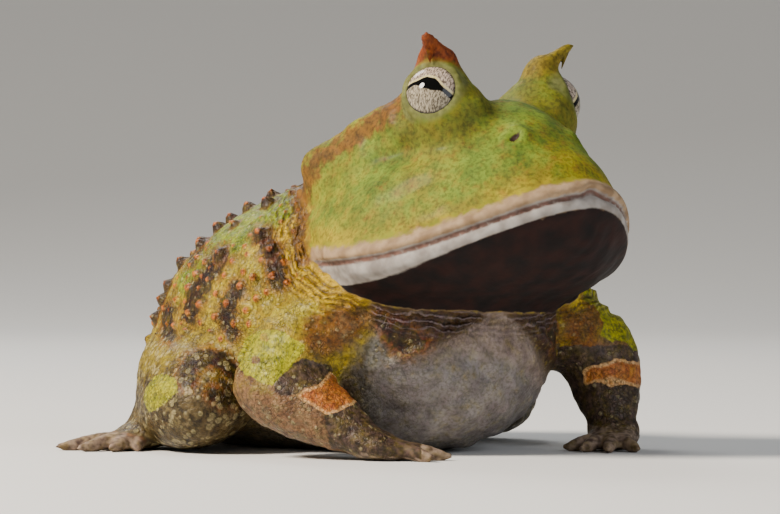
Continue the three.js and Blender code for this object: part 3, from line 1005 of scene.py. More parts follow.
THROAT = (
    (360, 272), (384, 262), (424, 248), (468, 231), (513, 219), (558, 215), (600, 222),
    (612, 240), (604, 275), (596, 300), (560, 316), (530, 309), (497, 301), (460, 306),
    (420, 303), (385, 296),
)  # fmt: skip
CHEST_PALE = (
    (497, 298), (480, 316), (462, 330), (440, 343), (414, 356), (386, 366), (366, 376),
    (380, 446), (560, 446), (556, 400), (543, 366), (528, 336), (512, 314),
)  # fmt: skip
CHEST_BLUE = (
    (344, 312), (378, 308), (392, 322), (384, 346), (404, 366), (470, 352), (520, 366),
    (545, 400), (540, 446), (380, 446), (350, 372),
)  # fmt: skip
CHEST_DARK = (
    (360, 292), (440, 300), (498, 304), (560, 306), (606, 280), (612, 330), (590, 356),
    (566, 392), (548, 366), (530, 336), (498, 304), (478, 322), (452, 338), (420, 352), (392, 352),
    (378, 326),
)  # fmt: skip
SHOULDER = (
    (300, 322), (324, 306), (352, 302), (372, 312), (362, 336), (338, 352), (312, 356), (300, 344),
)  # fmt: skip
NECK_LINE = (
    (340, 140), (318, 156), (302, 176), (296, 200), (295, 236), (303, 262), (328, 280),
    (362, 290), (404, 298), (460, 304), (530, 306), (590, 296), (606, 272),
)  # fmt: skip
# How many places of the line have yellow skin by them
NECK_YELLOW = 8
FOLD_LEFT_OF_CHEST = ((497, 300), (470, 318), (440, 340), (400, 360), (352, 378))
FOLD_RIGHT_OF_CHEST = ((497, 300), (522, 318), (545, 345), (566, 384))
LEFT_YELLOW = (
    (584, 300), (596, 306), (604, 322), (600, 334), (612, 342), (624, 340), (634, 352), (645, 349),
    (645, 290), (584, 286),
)  # fmt: skip
LEFT_SHOULDER = (
    (560, 306), (578, 312), (592, 310), (604, 324), (598, 338), (604, 346), (592, 360),
    (578, 372), (566, 350),
)  # fmt: skip
LEFT_DASH = ((598, 383), (610, 380), (622, 382))
LEFT_ORANGE = (
    (584, 372), (592, 366), (604, 365), (616, 360), (645, 364), (645, 388), (626, 383),
    (610, 386), (596, 381), (586, 384),
)  # fmt: skip


# The skin's relief, in millimetres
CRISP_HORN = 22.6
MOUTH_CREASE = 0.45
CREST_ROUGHNESS = 0.9
SNOUT_NOTCH = 0.75
MOUTH_CORNERS = ((20.0, 4.0, 1.0), (-20.0, 4.0, 1.0))
CORNER_FOLD_SPACING = 2.4
CORNER_FOLD_HEIGHT = 0.55
CHEST_RIPPLE = 0.2
CHEST_CREST = 0.85
ARM_LUMPS = 0.22
LUMP_SPACING = 2.1
LUMP_HEIGHT = 0.2
WART_DOME = 0.55
WART_POINT = 0.4
BIG_WART = 1.3
SMALL_WART = 0.8


@dataclass
class Frog:
    """The whole animal: its parts, and the skin over them."""

    pose: HeadPose = field(default_factory=HeadPose)
    mouth: Mouth = field(default_factory=Mouth)
    grain: float = 0.48

    def __post_init__(self) -> None:
        """Puts the parts together from the two values that they share."""
        self.eyes = (Eye(Side.RIGHT), Eye(Side.LEFT))
        self.head = Head(self.pose, self.mouth, self.eyes)
        self.jaw = Jaw(self.pose, self.mouth)
        self.torso = Torso()
        self.limbs = [right_arm(), left_arm(), leg(Side.RIGHT), leg(Side.LEFT)]

    def surfaces(self) -> list[Surface]:
        """Every form of flesh, each marked with its part."""
        made = self.head.surfaces() + self.jaw.surfaces() + self.torso.surfaces()
        for limb in self.limbs:
            made += limb.surfaces()
        return made


class Skin:
    """The animal's surface, and for each marking how far inside it each point of the skin lies."""

    def __init__(self, frog: Frog) -> None:
        """Fuses the forms, then works the surface from the largest shapes to the smallest."""
        surfaces = frog.surfaces()
        self.frog = frog
        self.mesh = one_surface(surfaces, frog.grain)
        self.parts = parts_of(self.mesh, surfaces)
        self.fields: dict[str, Array] = {}
        self.notch: Array | float = 0.0
        self.measure()
        self.blend()
        self.shape_head()
        self.seat_eyes()
        self.fold()
        self.granulate()
        self.measure()
        self.mark()
        self.raise_warts()
        self.mesh.points[:, 2] = np.maximum(self.mesh.points[:, 2], 0.0)

    def push(self, distance: Array) -> None:
        """Moves each point out along its own normal by a distance in millimetres."""
        self.mesh.points += distance[:, None] * self.mesh.normals()

    def soft(self, chosen: Array, rounds: int = 12) -> Array:
        """Turns a choice of points into a field that is about 1 inside and -1 outside."""
        value = chosen.astype(float)
        for _ in range(rounds):
            value = 0.4 * value + 0.6 * self.mesh.neighbour_mean(value)
        return 2 * value - 1

    def share_of(self, chosen: Array, rounds: int) -> Array:
        """Turns a choice of points into a field that is about 1 inside and 0 outside."""
        return np.clip(self.soft(chosen, rounds), 0, 1)

    def inside(self, outline: Line, both_sides: bool = False) -> Array:
        """How far in from an outline in the view's plane each point lies, in millimetres.

        Args:
            outline: its corners in the view's plane.
            both_sides: draws it on the animal's left side as well.

        Returns:
            The distance, negative outside the outline.
        """
        return in_outline(self.folded if both_sides else self.laid, outline) * VIEW.step

    def facing(self) -> Array:
        """How squarely the skin faces the view at each point: 1 square on, below 0 away."""
        return self.mesh.normals() @ VIEW.axes()[2]

    def part(self, *names: str) -> Array:
        """Which points belong to any of the named parts."""
        return np.isin(self.parts, names)

    def measure(self) -> None:
        """Finds each point's place in the head's frame, in the view's plane, and by the eyes."""
        points = self.mesh.points
        self.local = self.frog.pose.to_head(points)
        self.above = self.local[:, 2] - self.frog.mouth.dip(self.local[:, 1]) - self.notch
        self.laid = VIEW.lay(points)
        self.folded = VIEW.lay(points * np.where(points[:, :1] > 0, [-1, 1, 1], [1, 1, 1]))
        self.from_eye = np.min(
            [np.linalg.norm(self.local - eye.centre(), axis=1) for eye in self.frog.eyes], axis=0
        )
        self.on_head = self.part("head", "jaw", "mound", "horn", "lid")
        self.by_mouth = np.where(self.part("head", "jaw"), np.abs(self.above), 99.0)

    def blend(self) -> None:
        """Rounds the joins between the forms, and leaves lips, lids, digits and horns crisp."""
        tip = self.part("horn") & (self.local[:, 2] > CRISP_HORN)
        keep = self.share_of(self.part("digit") | tip, 4)
        near_mouth = smoothstep(3.4, 2.2, self.by_mouth)
        near_eye = smoothstep(5.6, 4.9, self.from_eye)
        share = 0.6 * (1 - keep) * (1 - near_mouth) * (1 - near_eye)
        self.mesh.relax(share, 34)
        under = self.part("jaw", "torso") & (self.above < -4.5) & (self.local[:, 1] < 6)
        self.mesh.relax(share * self.share_of(under, 10), 60)
        self.mesh.relax(0.5 * (1 - keep), 5)
        self.mesh.relax(np.full(len(share), 0.3), 2)
        self.measure()

    def ridge(self, line: Line, height: float, reach: float) -> Array:
        """A rounded ridge on both sides of the head along a line in the head's frame."""
        mirrored = self.local * np.where(self.local[:, :1] < 0, [-1, 1, 1], [1, 1, 1])
        distance, share = to_line(mirrored, line)
        taper = smoothstep(0, 0.15, share) * smoothstep(1, 0.85, share)
        return np.where(self.on_head, height * bump(distance, 0, reach) * taper, 0)

    def shape_head(self) -> None:
        """Deepens the mouth's crease, and raises the ridges of the face and nostrils."""
        lips = smoothstep(0.75, 0.2, self.by_mouth)
        out = -MOUTH_CREASE * lips
        out = out + self.ridge(((8, -19, 17.5), (6.2, -22, 14.4), (4, -25.6, 9.0)), 0.55, 2.4)
        out = out + self.ridge(((13.5, -12, 15.0), (15.5, -5, 13.0), (17, 2, 10.0)), 0.5, 3.0)
        out = out + self.ridge(((11, -20, 12), (14.5, -14, 8), (18.5, -4, 6)), 0.35, 3.2)
        crest = smoothstep(11, 15, self.local[:, 2]) * smoothstep(-12, -8, self.local[:, 1])
        out = out + CREST_ROUGHNESS * cloud(self.local, 4.0, 33) * crest * self.on_head
        dents = 0.45 * cloud(self.local, 9.0, 35, 2) + 0.14 * cloud(self.local, 2.6, 36, 1)
        face = self.share_of(self.part("head", "mound"), 6)
        out = out + dents * face * smoothstep(2.5, 5.0, self.above)
        out_x, back, up = self.frog.head.nostril
        nostril = np.stack([np.abs(self.local[:, 0]) - out_x, self.local[:, 1] - back], axis=1)
        near = (self.local[:, 2] > up - 3) & self.part("head")
        long_way = nostril @ np.array([0.87, 0.5])
        short_way = nostril @ np.array([-0.5, 0.87])
        oval = np.hypot(long_way / 0.8, short_way / 0.3)
        rim = bump(np.hypot(long_way / 1.7, short_way / 1.0), 0.85, 0.6)
        out = out + np.where(near, 0.25 * rim - 0.6 * smoothstep(1.3, 0.5, oval), 0)
        self.push(out)
        front = self.on_head & (self.local[:, 1] < -22)
        notch = bump(self.local[:, 0], 0, 2.4) * bump(self.above, 0.2, 3.2) * front
        self.mesh.points += SNOUT_NOTCH * notch[:, None] * self.frog.pose.turn()[:, 2]
        self.notch = SNOUT_NOTCH * notch
        self.nostril = np.where(near, 1 - oval, -4.0)
        self.measure()

    def seat_eyes(self) -> None:
        """Draws the skin round each eyeball, so that the lids lie close against it."""
        local = self.local
        for eye in self.frog.eyes:
            apart = local - eye.centre()
            distance = np.linalg.norm(apart, axis=1)
            angle = np.degrees(np.arccos(np.clip(apart @ eye.look() / distance, -1, 1)))
            near = (distance < eye.radius + 3.4) & self.on_head
            sunk = smoothstep(56, 49, angle) * near
            target = distance + sunk * (eye.radius - 0.5 - distance)
            local = eye.centre() + apart * (target / distance)[:, None]
        self.mesh.points = self.frog.pose.to_frog(local)
        self.measure()

    def fold(self) -> None:
        """Lays folds round the corners of the jaw, over the throat and chest, and by the arms."""
        points = self.mesh.points
        flesh = self.part("torso", "upper_arm", "forearm", "thigh", "shank")
        out = np.zeros(len(points))
        wander = 0.9 * cloud(points, 5.0, SEED)
        corner = self.frog.pose.to_frog(np.array(MOUTH_CORNERS))
        from_corner = np.linalg.norm(points[:, None] - corner, axis=2).min(axis=1)
        wave = 1 - np.abs(np.sin(np.pi * (from_corner + wander) / CORNER_FOLD_SPACING))
        reach = smoothstep(17, 9, from_corner) * flesh
        out += CORNER_FOLD_HEIGHT * (wave - 0.5) * reach
        jaw = self.part("jaw") & (self.above < -2.4)
        across = np.sin((self.local[:, 0] * 0.75 + 2.5 * cloud(points, 7.0, 3)) * 2 * np.pi / 2.6)
        out += 0.05 * across * self.share_of(jaw, 6)
        chest = self.part("torso") & (points[:, 1] < 2) & (points[:, 2] < 22)
        ripple = np.sin((points[:, 2] * 0.5 + points[:, 0] * 0.35 + 3 * cloud(points, 8, 5)) * 2.3)
        out += CHEST_RIPPLE * ripple * self.share_of(chest, 10)
        for line in (FOLD_LEFT_OF_CHEST, FOLD_RIGHT_OF_CHEST):
            distance, share = to_line(self.laid, line)
            crest = bump(distance * VIEW.step, 0, 1.2) * smoothstep(1, 0.6, share)
            out += CHEST_CREST * crest * self.share_of(chest, 10)
        arms = self.share_of(self.part("forearm", "upper_arm"), 6)
        out += ARM_LUMPS * cloud(points, 3.4, 8) * arms
        self.push(out)
        self.measure()

    def granulate(self) -> None:
        """Makes the body and legs gently lumpy, and notes where the skin is granular."""
        points = self.mesh.points
        rough = self.share_of(~self.on_head & ~self.part("digit"), 8)
        large, _ = cells(points, LUMP_SPACING, 20)
        self.push((LUMP_HEIGHT * np.clip(1 - (large / 0.6) ** 2, 0, 1) - 0.05) * rough)
        pale = self.inside(CHEST_PALE)
        self.fields["rough"] = rough * (1 - 0.4 * smoothstep(-1, 2, pale) * self.part("torso"))

    def wart_feet(self) -> tuple[Array, Array]:
        """Places and sizes of the warts: those laid out in the view, and others over the back."""
        points = self.mesh.points
        towards = self.facing()
        torso = np.flatnonzero(self.part("torso") & (towards > 0.05))
        feet, sizes = [], []
        for places, radius in ((BIG_WARTS, BIG_WART), (SMALL_WARTS, SMALL_WART)):
            for place in places:
                apart = np.linalg.norm(self.laid[torso] - np.array(place), axis=1)
                feet.append(points[torso[apart.argmin()]])
                sizes.append(radius)
        draw = np.random.default_rng(SEED)
        for sizes_drawn, count, room in (((0.8, 1.0, 1.3), 420, 1.7), ((0.4, 0.55), 900, 0.5)):
            for _ in range(count):
                angle = np.array([np.pi * draw.uniform(0.0, 1.0)])
                place = self.frog.torso.on_back(angle, np.array([draw.uniform(0.06, 0.68)]))[0]
                radius = draw.choice(sizes_drawn)
                gaps = np.linalg.norm(np.array(feet) - place, axis=1) - np.array(sizes)
                if gaps.min() > radius + room:
                    feet.append(place)
                    sizes.append(radius)
        return np.array(feet), np.array(sizes)

    def raise_warts(self) -> None:
        """Raises a pointed wart on each foot, and notes its dark base and its bright tip."""
        feet, sizes = self.wart_feet()
        points = self.mesh.points
        share = np.full(len(points), 9.0)
        size = np.ones(len(points))
        for foot, radius in zip(feet, sizes):
            apart = np.linalg.norm(points - foot, axis=1) / radius
            size = np.where(apart < share, radius, size)
            share = np.minimum(share, apart)
        body = self.part("torso")
        dome = np.clip(1 - share**2, 0, 1) ** 1.3
        height = size * (WART_DOME * dome + WART_POINT * np.clip(1 - share, 0, 1))
        self.push(height * body)
        big = smoothstep(0.7, 0.95, size)
        self.fields["wart"] = np.where(body, (1.0 - share) * size * big - 2 * (1 - big), -4)
        self.fields["wart_tip"] = np.where(body, (0.3 + 0.5 * (1 - big) - share) * size, -4)

    def only(self, value: Array, *names: str) -> Array:
        """The same field, brought down below 0 outside the named parts."""
        return np.minimum(value, 1.3 * self.soft(self.part(*names), 5))

    def mark(self) -> None:
        """Works out how far inside each of the markings every point lies, in millimetres."""
        self.mark_head()
        self.mark_body()
        self.mark_limbs()
        f = self.fields
        plain = smoothstep(-0.2, 0.3, np.maximum(f["arm_green"], f["arm_orange"]))
        chest = smoothstep(-0.8, 0.6, f["chest_pale"])
        sparse = (1 - 0.85 * plain) * (1 - 0.85 * chest)
        f["granules"] = f["rough"] * smoothstep(2.5, 6.0, f["fold"]) * sparse
        face = self.share_of(self.part("head", "mound", "horn"), 4)
        f["grit"] = np.maximum(f["rough"], 0.8 * face * smoothstep(2.4, 3.4, self.above))

    def mark_head(self) -> None:
        """The head's green, its brown rim and smudges, the lips, horns, lids and throat."""
        f, local, above = self.fields, self.local, self.above
        step = VIEW.step
        skull = ("head", "mound", "horn", "lid")
        seen = self.facing()
        forward = smoothstep(2, -24, local[:, 1])
        eye_gap = self.from_eye - self.frog.eyes[0].radius
        f["head"] = self.only(above - 2.0, *skull)
        rim, _ = to_line(self.folded, HEAD_RIM)
        skyline = smoothstep(0.4, 0.0, np.abs(seen)) * (local[:, 1] > -13) * (local[:, 2] > 11)
        rim = np.maximum(1.3 - rim * step, self.only(1.8 * skyline - 0.9, "head"))
        f["head_rim"] = np.minimum(self.only(rim, "head", "torso"), eye_gap - 1.0)
        near_lip = 1.3 * smoothstep(7.5, 3.0, above) + smoothstep(2, 10, local[:, 1])
        f["head_yellow"] = self.only(1.7 * cloud(local, 7.0, 70) + 1.3 * near_lip - 0.6, *skull)
        smudges = 1.7 * cloud(local, 3.6, 80) - 0.95 + 0.4 * smoothstep(8, 2.5, above)
        smudges = np.maximum(smudges, 0.9 - 0.35 * np.abs(eye_gap - 2.0))
        f["head_smudge"] = self.only(smudges, *skull)
        horn = self.only(local[:, 2] - 21.9, "horn")
        f["horn"] = np.minimum(horn, -local[:, 0])
        f["horn_far"] = np.minimum(horn, local[:, 0])
        f["lid"] = self.only(0.5 - np.abs(eye_gap - 0.15), *skull)
        # Painted shade where the lids meet the eyeball.
        f["socket"] = self.only(-0.05 - eye_gap, *skull)
        # Painted shade in the nostril's pit.
        f["nostril"] = self.nostril
        f["upper_lip"] = self.only(2.3 - above, "head", "jaw")
        lower = np.minimum(above + 3.1 - 1.4 * forward, 0.5 - above)
        f["lower_lip"] = self.only(lower, "head", "jaw")
        # Painted shade along the mouth's line, in the crease between the lips.
        f["crease"] = self.only(0.34 - np.abs(above), "head", "jaw")
        dark_below = np.where(seen > 0, self.inside(THROAT), -3)
        f["throat"] = np.maximum(self.only(-1.5 - above, "jaw"), self.only(dark_below, "torso"))

    def mark_body(self) -> None:
        """The flanks' blotches, the green of the back, and the pale and dark of the chest."""
        f, points = self.fields, self.mesh.points
        step = VIEW.step
        low, side, front = points[:, 2], np.abs(points[:, 0]), 8 - points[:, 1]
        normals = self.mesh.normals()
        seen = normals @ VIEW.axes()[2]
        f["chest"] = self.only(np.minimum(front - 0.55 * low, 22 - low) * 0.8, "torso")
        f["chest_pale"] = self.only(self.inside(CHEST_PALE), "torso")
        f["chest_blue"] = self.only(self.inside(CHEST_BLUE), "torso")
        dark = self.inside(CHEST_DARK)
        f["chest_dark"] = np.where(seen > -0.2, self.only(dark, "torso"), -3)
        f["belly"] = self.only(6.5 - low, "torso")
        stripe, _ = to_line(self.folded, STRIPE)
        spine = np.min([4.5 - side, 6 * normals[:, 2] - 1.5, low - 24], axis=0)
        f["stripe"] = self.only(np.maximum(2.4 - stripe * step, spine), "torso")
        f["flank_pale"] = self.only(2.2 * cloud(points, 5.0, 90, 2) - 0.25, "torso", "upper_arm")
        fold, _ = to_line(self.folded, NECK_LINE)
        f["fold"] = fold * step
        neck, _ = to_line(self.folded, NECK_LINE[:NECK_YELLOW])
        f["neck"] = self.only(np.minimum(4.0 - neck * step, front - 3), "torso", "upper_arm")
        shoulder = self.inside(SHOULDER, True)
        armpit = self.inside(LEFT_SHOULDER)
        shoulder = np.where(points[:, 0] > 0, np.maximum(shoulder, armpit), shoulder)
        f["shoulder"] = self.only(shoulder, "torso", "upper_arm", "forearm")
        blotch = np.full(len(points), -9.0)
        for line, width in zip(BLOTCHES, BLOTCH_WIDTHS):
            distance, _ = to_line(self.folded, line)
            blotch = np.maximum(blotch, (width - distance) * step)
        out_of_view = smoothstep(0.3, 0.0, seen) * (points[:, 0] < 0)
        elsewhere = 2.4 * cloud(points, 6.0, 60, 2) - 0.35
        blotch = blotch + out_of_view * (elsewhere - blotch)
        body = ("torso", "thigh", "shank", "tarsus")
        f["blotch"] = np.minimum(self.only(blotch, *body), low - 4)

    def mark_limbs(self) -> None:
        """The bands and patches of the arms and legs."""
        f, points = self.fields, self.mesh.points
        step = VIEW.step
        arms = ("upper_arm", "forearm", "palm", "digit")
        legs = ("thigh", "shank", "tarsus")
        right = points[:, 0] < 0
        green = np.where(right, in_outline(self.laid, ELBOW), in_outline(self.laid, LEFT_YELLOW))
        for dot in ELBOW_DOTS:
            apart = np.linalg.norm(self.laid - np.array(dot), axis=1) * step
            green = np.minimum(green, (apart - 0.6) / step)
        shin = self.only(self.inside(SHIN_PATCH, True), *legs)
        seen = self.facing()
        green = np.where(self.part("torso") & ((seen < 0.05) | ~right), -9.0, green)
        f["arm_green"] = np.maximum(self.only(green * step, "torso", *arms), shin)
        dark = np.maximum(in_outline(self.laid, ARM_DARK), in_outline(self.laid, WRIST_DARK))
        band = np.abs(self.laid[:, 1] - 385) - 40
        dark = np.where(right, dark, -band)
        f["arm_dark"] = self.only(dark * step, *arms)
        orange = np.where(
            right, in_outline(self.laid, ORANGE_PATCH), in_outline(self.laid, LEFT_ORANGE)
        )
        dash, _ = to_line(self.laid, LEFT_DASH)
        orange = np.minimum(orange, dash - 2.0)
        f["arm_orange"] = self.only(orange * step, *arms[1:])
        f["limb"] = self.only(np.full(len(points), 3.0), "forearm", "palm", "digit", *legs)
        f["leg"] = self.only(np.full(len(points), 3.0), *legs)
        f["leg_green"] = self.only(0.5 * (points[:, 2] - 12.5), *legs)
        f["hand"] = self.only(np.full(len(points), 3.0), "palm", "digit")

    def object(self) -> bpy.types.Object:
        """The skin as an object, with each field as a named value at its points."""
        made = new_object("frog_skin", self.mesh.points, self.mesh.faces)
        note(made, {name: np.clip(values, -6, 6) for name, values in self.fields.items()})
        return made


# Finishes


class Nodes:
    """A material's node tree, filled through a few short calls."""

    def __init__(self, name: str) -> None:
        """Starts an empty material."""
        self.material = bpy.data.materials.new(name)
        self.material.use_nodes = True
        self.tree = self.material.node_tree
        self.tree.nodes.clear()

    def add(self, kind: str, inputs: dict | None = None, **settings):
        """Adds a node, sets its properties, and sets or links its inputs.

        Args:
            kind: the node's type, without its ShaderNode prefix.
            inputs: a value or an output socket for each input, by name or number.
            settings: the node's own properties.

        Returns:
            The node.
        """
        node = self.tree.nodes.new("ShaderNode" + kind)
        for key, value in settings.items():
            setattr(node, key, value)
        for key, value in (inputs or {}).items():
            if isinstance(value, bpy.types.NodeSocket):
                self.tree.links.new(value, node.inputs[key])
            else:
                node.inputs[key].default_value = value
        return node

    def value(self, name: str):
        """The skin's field of that name."""
        return self.add("Attribute", attribute_name=name).outputs["Fac"]

    def sum(self, operation: str, a, b=0.0):
        """One operation on two values."""
        return self.add("Math", {0: a, 1: b}, operation=operation).outputs[0]

    def times(self, *values):
        """The product of two or more values."""
        product = values[0]
        for value in values[1:]:
            product = self.sum("MULTIPLY", product, value)
        return product

    def total(self, *values):
        """The sum of two or more values."""
        made = values[0]
        for value in values[1:]:
            made = self.sum("ADD", made, value)
        return made

    def scaled(self, value, factor, added):
        """A value times a factor, plus another value."""
        inputs = {0: value, 1: factor, 2: added}
        return self.add("Math", inputs, operation="MULTIPLY_ADD").outputs[0]

    def surfaced(self, inputs: dict) -> bpy.types.Material:
        """Ends the material in one principled surface with those inputs."""
        shader = self.add("BsdfPrincipled", inputs)
        self.add("OutputMaterial", {"Surface": shader.outputs[0]})
        return self.material

    def step(self, value, low: float, high: float):
        """A smooth step from 0 at low to 1 at high."""
        inputs = {"Value": value, "From Min": low, "From Max": high}
        return self.add("MapRange", inputs, interpolation_type="SMOOTHSTEP").outputs[0]

    def mix(self, share, a, b):
        """A colour that share of the way from a to b."""
        node = self.add("Mix", {0: share, 6: a, 7: b}, data_type="RGBA")
        return node.outputs[2]

    def place(self):
        """Places in the frog's frame, in metres."""
        return self.add("TexCoord").outputs["Object"]

    def noise(self, size: float, detail: float = 3.0, roughness: float = 0.55):
        """Noise from about -1 to 1, with its largest features about size millimetres across."""
        inputs = {
            "Vector": self.place(),
            "Scale": 1.0 / (size * MM),
            "Detail": detail,
            "Roughness": roughness,
        }
        raw = self.add("TexNoise", inputs).outputs["Fac"]
        spread = {"Value": raw, "From Min": 0.25, "From Max": 0.75, "To Min": -1.0}
        return self.add("MapRange", spread).outputs[0]

    def cells(self, size: float):
        """Distance to the middle of the nearest of many scattered cells, as a share of size."""
        inputs = {"Vector": self.place(), "Scale": 1.0 / (size * MM)}
        return self.add("TexVoronoi", inputs).outputs["Distance"]


@dataclass(frozen=True)
class Marking:
    """A marking of the skin: where a field is above 0, its own mottled colour covers the rest.

    Args:
        field: the field's name.
        light, dark: the two colours it is mottled with.
        edge: how wide its edge is, in millimetres.
        ragged: how far its edge wanders, in millimetres.
        mottle: the size of its mottling, in millimetres.
        cover: how far it hides what is under it.
        grow: how far it reaches past the field's edge, in millimetres.
    """

    field: str
    light: str
    dark: str
    edge: float = 0.3
    ragged: float = 0.5
    mottle: float = 1.6
    cover: float = 1.0
    grow: float = 0.0


# From the lowest to the topmost
MARKINGS = (
    Marking("flank_pale", "c0b41c", "8f840e", 0.9, 0.8, 1.6, 0.85),
    Marking("limb", "8f6a48", "563823", 0.8, 0.8, 2.2),
    Marking("leg", "54421e", "241909", 0.8, 0.8, 2.0),
    Marking("leg_green", "a08c16", "6a560c", 1.2, 1.2, 1.6, 0.9, 0.8),
    Marking("chest", "5f4e48", "382a26", 1.8, 1.2, 1.6),
    Marking("neck", "d6b00c", "9c7a06", 1.6, 0.8, 1.8, 0.9),
    Marking("shoulder", "834712", "4e260a", 1.2, 0.9, 1.4, 0.9),
    Marking("belly", "8a7d72", "5f544b", 2.2, 1.4, 2.0),
    Marking("chest_pale", "93827b", "6c5c57", 0.6, 0.3, 2.8),
    Marking("chest_blue", "7d8489", "5a5d66", 2.2, 1.4, 2.4, 0.55),
    Marking("chest_dark", "452c2c", "221211", 0.7, 0.8, 1.1),
    Marking("stripe", "8a9800", "566a00", 0.35, 0.5, 1.6),
    Marking("blotch", "7d3c14", "5a260c", 0.9, 0.9, 1.0, 0.7, 0.7),
    Marking("blotch", "2c0e09", "120504", 0.3, 0.55, 1.0),
    Marking("wart", "7a3c16", "5a280e", 0.5, 0.35, 0.9, 0.7, 0.5),
    Marking("wart", "32120a", "160605", 0.35, 0.3, 0.9, 0.95),
    Marking("wart_tip", "c26a26", "964412", 0.25, 0.12, 0.5),
    Marking("hand", "937d6a", "42312a", 0.8, 0.8, 0.9),
    Marking("arm_dark", "56423a", "21140f", 0.15, 0.4, 0.8),
    Marking("arm_green", "a8a200", "747800", 0.1, 0.22, 1.0),
    Marking("arm_orange", "dcb07a", "c98f56", 0.1, 0.2, 0.7, 1.0, 0.2),
    Marking("arm_orange", "c4742c", "984516", 0.2, 0.25, 0.6, 0.95, -0.2),
    Marking("head", "6f8520", "425a10", 0.4, 0.3, 3.6),
    Marking("head_yellow", "ab9408", "786b0a", 2.0, 0.9, 2.4, 0.85),
    Marking("head_smudge", "6a5a12", "4a3c0a", 1.1, 0.6, 0.9, 0.55),
    Marking("head_rim", "7a4812", "4e2a0a", 0.8, 0.9, 1.2, 0.85),
    Marking("horn", "8f4414", "582208", 1.0, 0.8, 0.7),
    Marking("horn_far", "8a7414", "5f4c0c", 1.0, 0.8, 0.7, 0.8),
    Marking("lid", "6c7040", "4a4d26", 0.25, 0.1, 0.8, 0.8),
    Marking("upper_lip", "a58b6c", "7f664a", 0.5, 0.5, 2.0),
    Marking("throat", "220a06", "070202", 0.3, 0.3, 2.6),
    Marking("lower_lip", "a39d96", "7d756e", 0.12, 0.07, 2.0),
    # Painted shade in the nostril's pit.
    Marking("nostril", "3a2414", "2a180e", 0.2, 0.05, 1.0),
    # Painted shade along the mouth's line, in the crease between the lips.
    Marking("crease", "6a4030", "4a2c20", 0.18, 0.05, 1.0, 0.85),
    # Painted shade where the lids meet the eyeball.
    Marking("socket", "2a1c14", "1c120c", 0.12, 0.03, 1.0),
)


# The relief of the material and the spacing of its parts, in millimetres
GRANULE_SPACING = 1.05
GRANULE_HEIGHT = 0.12
CREASE_SPACING = 0.62
CREASE_DEPTH = 0.09
CREASE_STRAY = 0.9
NECK_FOLD_SPACING = 0.92
NECK_FOLD_HEIGHT = 0.16
TOOTH_HEIGHT = 0.008
SWELL_HEIGHT = 0.05


def painted(n: Nodes):
    """The skin's ground colour with each marking laid over it in turn."""
    base = n.mix(n.step(n.noise(3.0), -0.8, 0.8), srgb("6f5608"), srgb("b09614"))
    wander = n.noise(1.3, 2.0)
    for marking in MARKINGS:
        edge = n.scaled(wander, marking.ragged, n.value(marking.field))
        share = n.step(edge, -marking.edge - marking.grow, marking.edge - marking.grow)
        if marking.cover < 1:
            share = n.times(share, marking.cover)
        mottle = n.step(n.noise(marking.mottle, 2.0, 0.45), -1.0, 1.0)
        base = n.mix(share, base, n.mix(mottle, srgb(marking.dark), srgb(marking.light)))
    return base


def granules(n: Nodes):
    """Raised pale granules, each on its own cell, densest on the legs."""
    dots = n.add("TexVoronoi", {"Vector": n.place(), "Scale": 1.0 / (GRANULE_SPACING * MM)})
    pick = n.add("SeparateColor", {0: dots.outputs["Color"]}).outputs[0]
    dense = n.scaled(n.step(n.value("leg"), -0.5, 1.0), 0.2, 0.02)
    reach = n.sum("SUBTRACT", n.scaled(pick, 0.34, dense), dots.outputs["Distance"])
    return n.times(n.step(reach, -0.06, 0.14), n.value("granules"))


def creases(n: Nodes, rough):
    """The net of fine creases between granules, faint where the skin isn't rough. It dents the
    relief, and it masks the painted shade in the creases.
    """
    wobble = n.add("TexNoise", {"Vector": n.place(), "Scale": 1.0 / (1.1 * MM), "Detail": 2.0})
    strayed = n.add(
        "VectorMath",
        {0: wobble.outputs["Color"], 1: (CREASE_STRAY * MM,) * 3, 2: n.place()},
        operation="MULTIPLY_ADD",
    )
    net = n.add(
        "TexVoronoi",
        {"Vector": strayed.outputs[0], "Scale": 1.0 / (CREASE_SPACING * MM)},
        feature="DISTANCE_TO_EDGE",
    )
    crack = n.step(net.outputs["Distance"], 0.2, 0.0)
    strength = n.scaled(n.step(n.noise(5.0, 2.0), -0.6, 0.7), 0.65, 0.25)
    return n.times(crack, strength, n.sum("MAXIMUM", rough, 0.06))


def neck_folds(n: Nodes, rough) -> tuple:
    """Fine folds that follow the back of the head: their wave, and where they reach."""
    bent = n.scaled(n.noise(3.2), 0.6, n.value("fold"))
    wave = n.sum("SINE", n.times(bent, 2 * math.pi / NECK_FOLD_SPACING))
    patchy = n.step(n.noise(2.2, 2.0), -1.6, 0.2)
    return wave, n.times(n.step(n.value("fold"), 6.0, 2.0), rough, patchy)


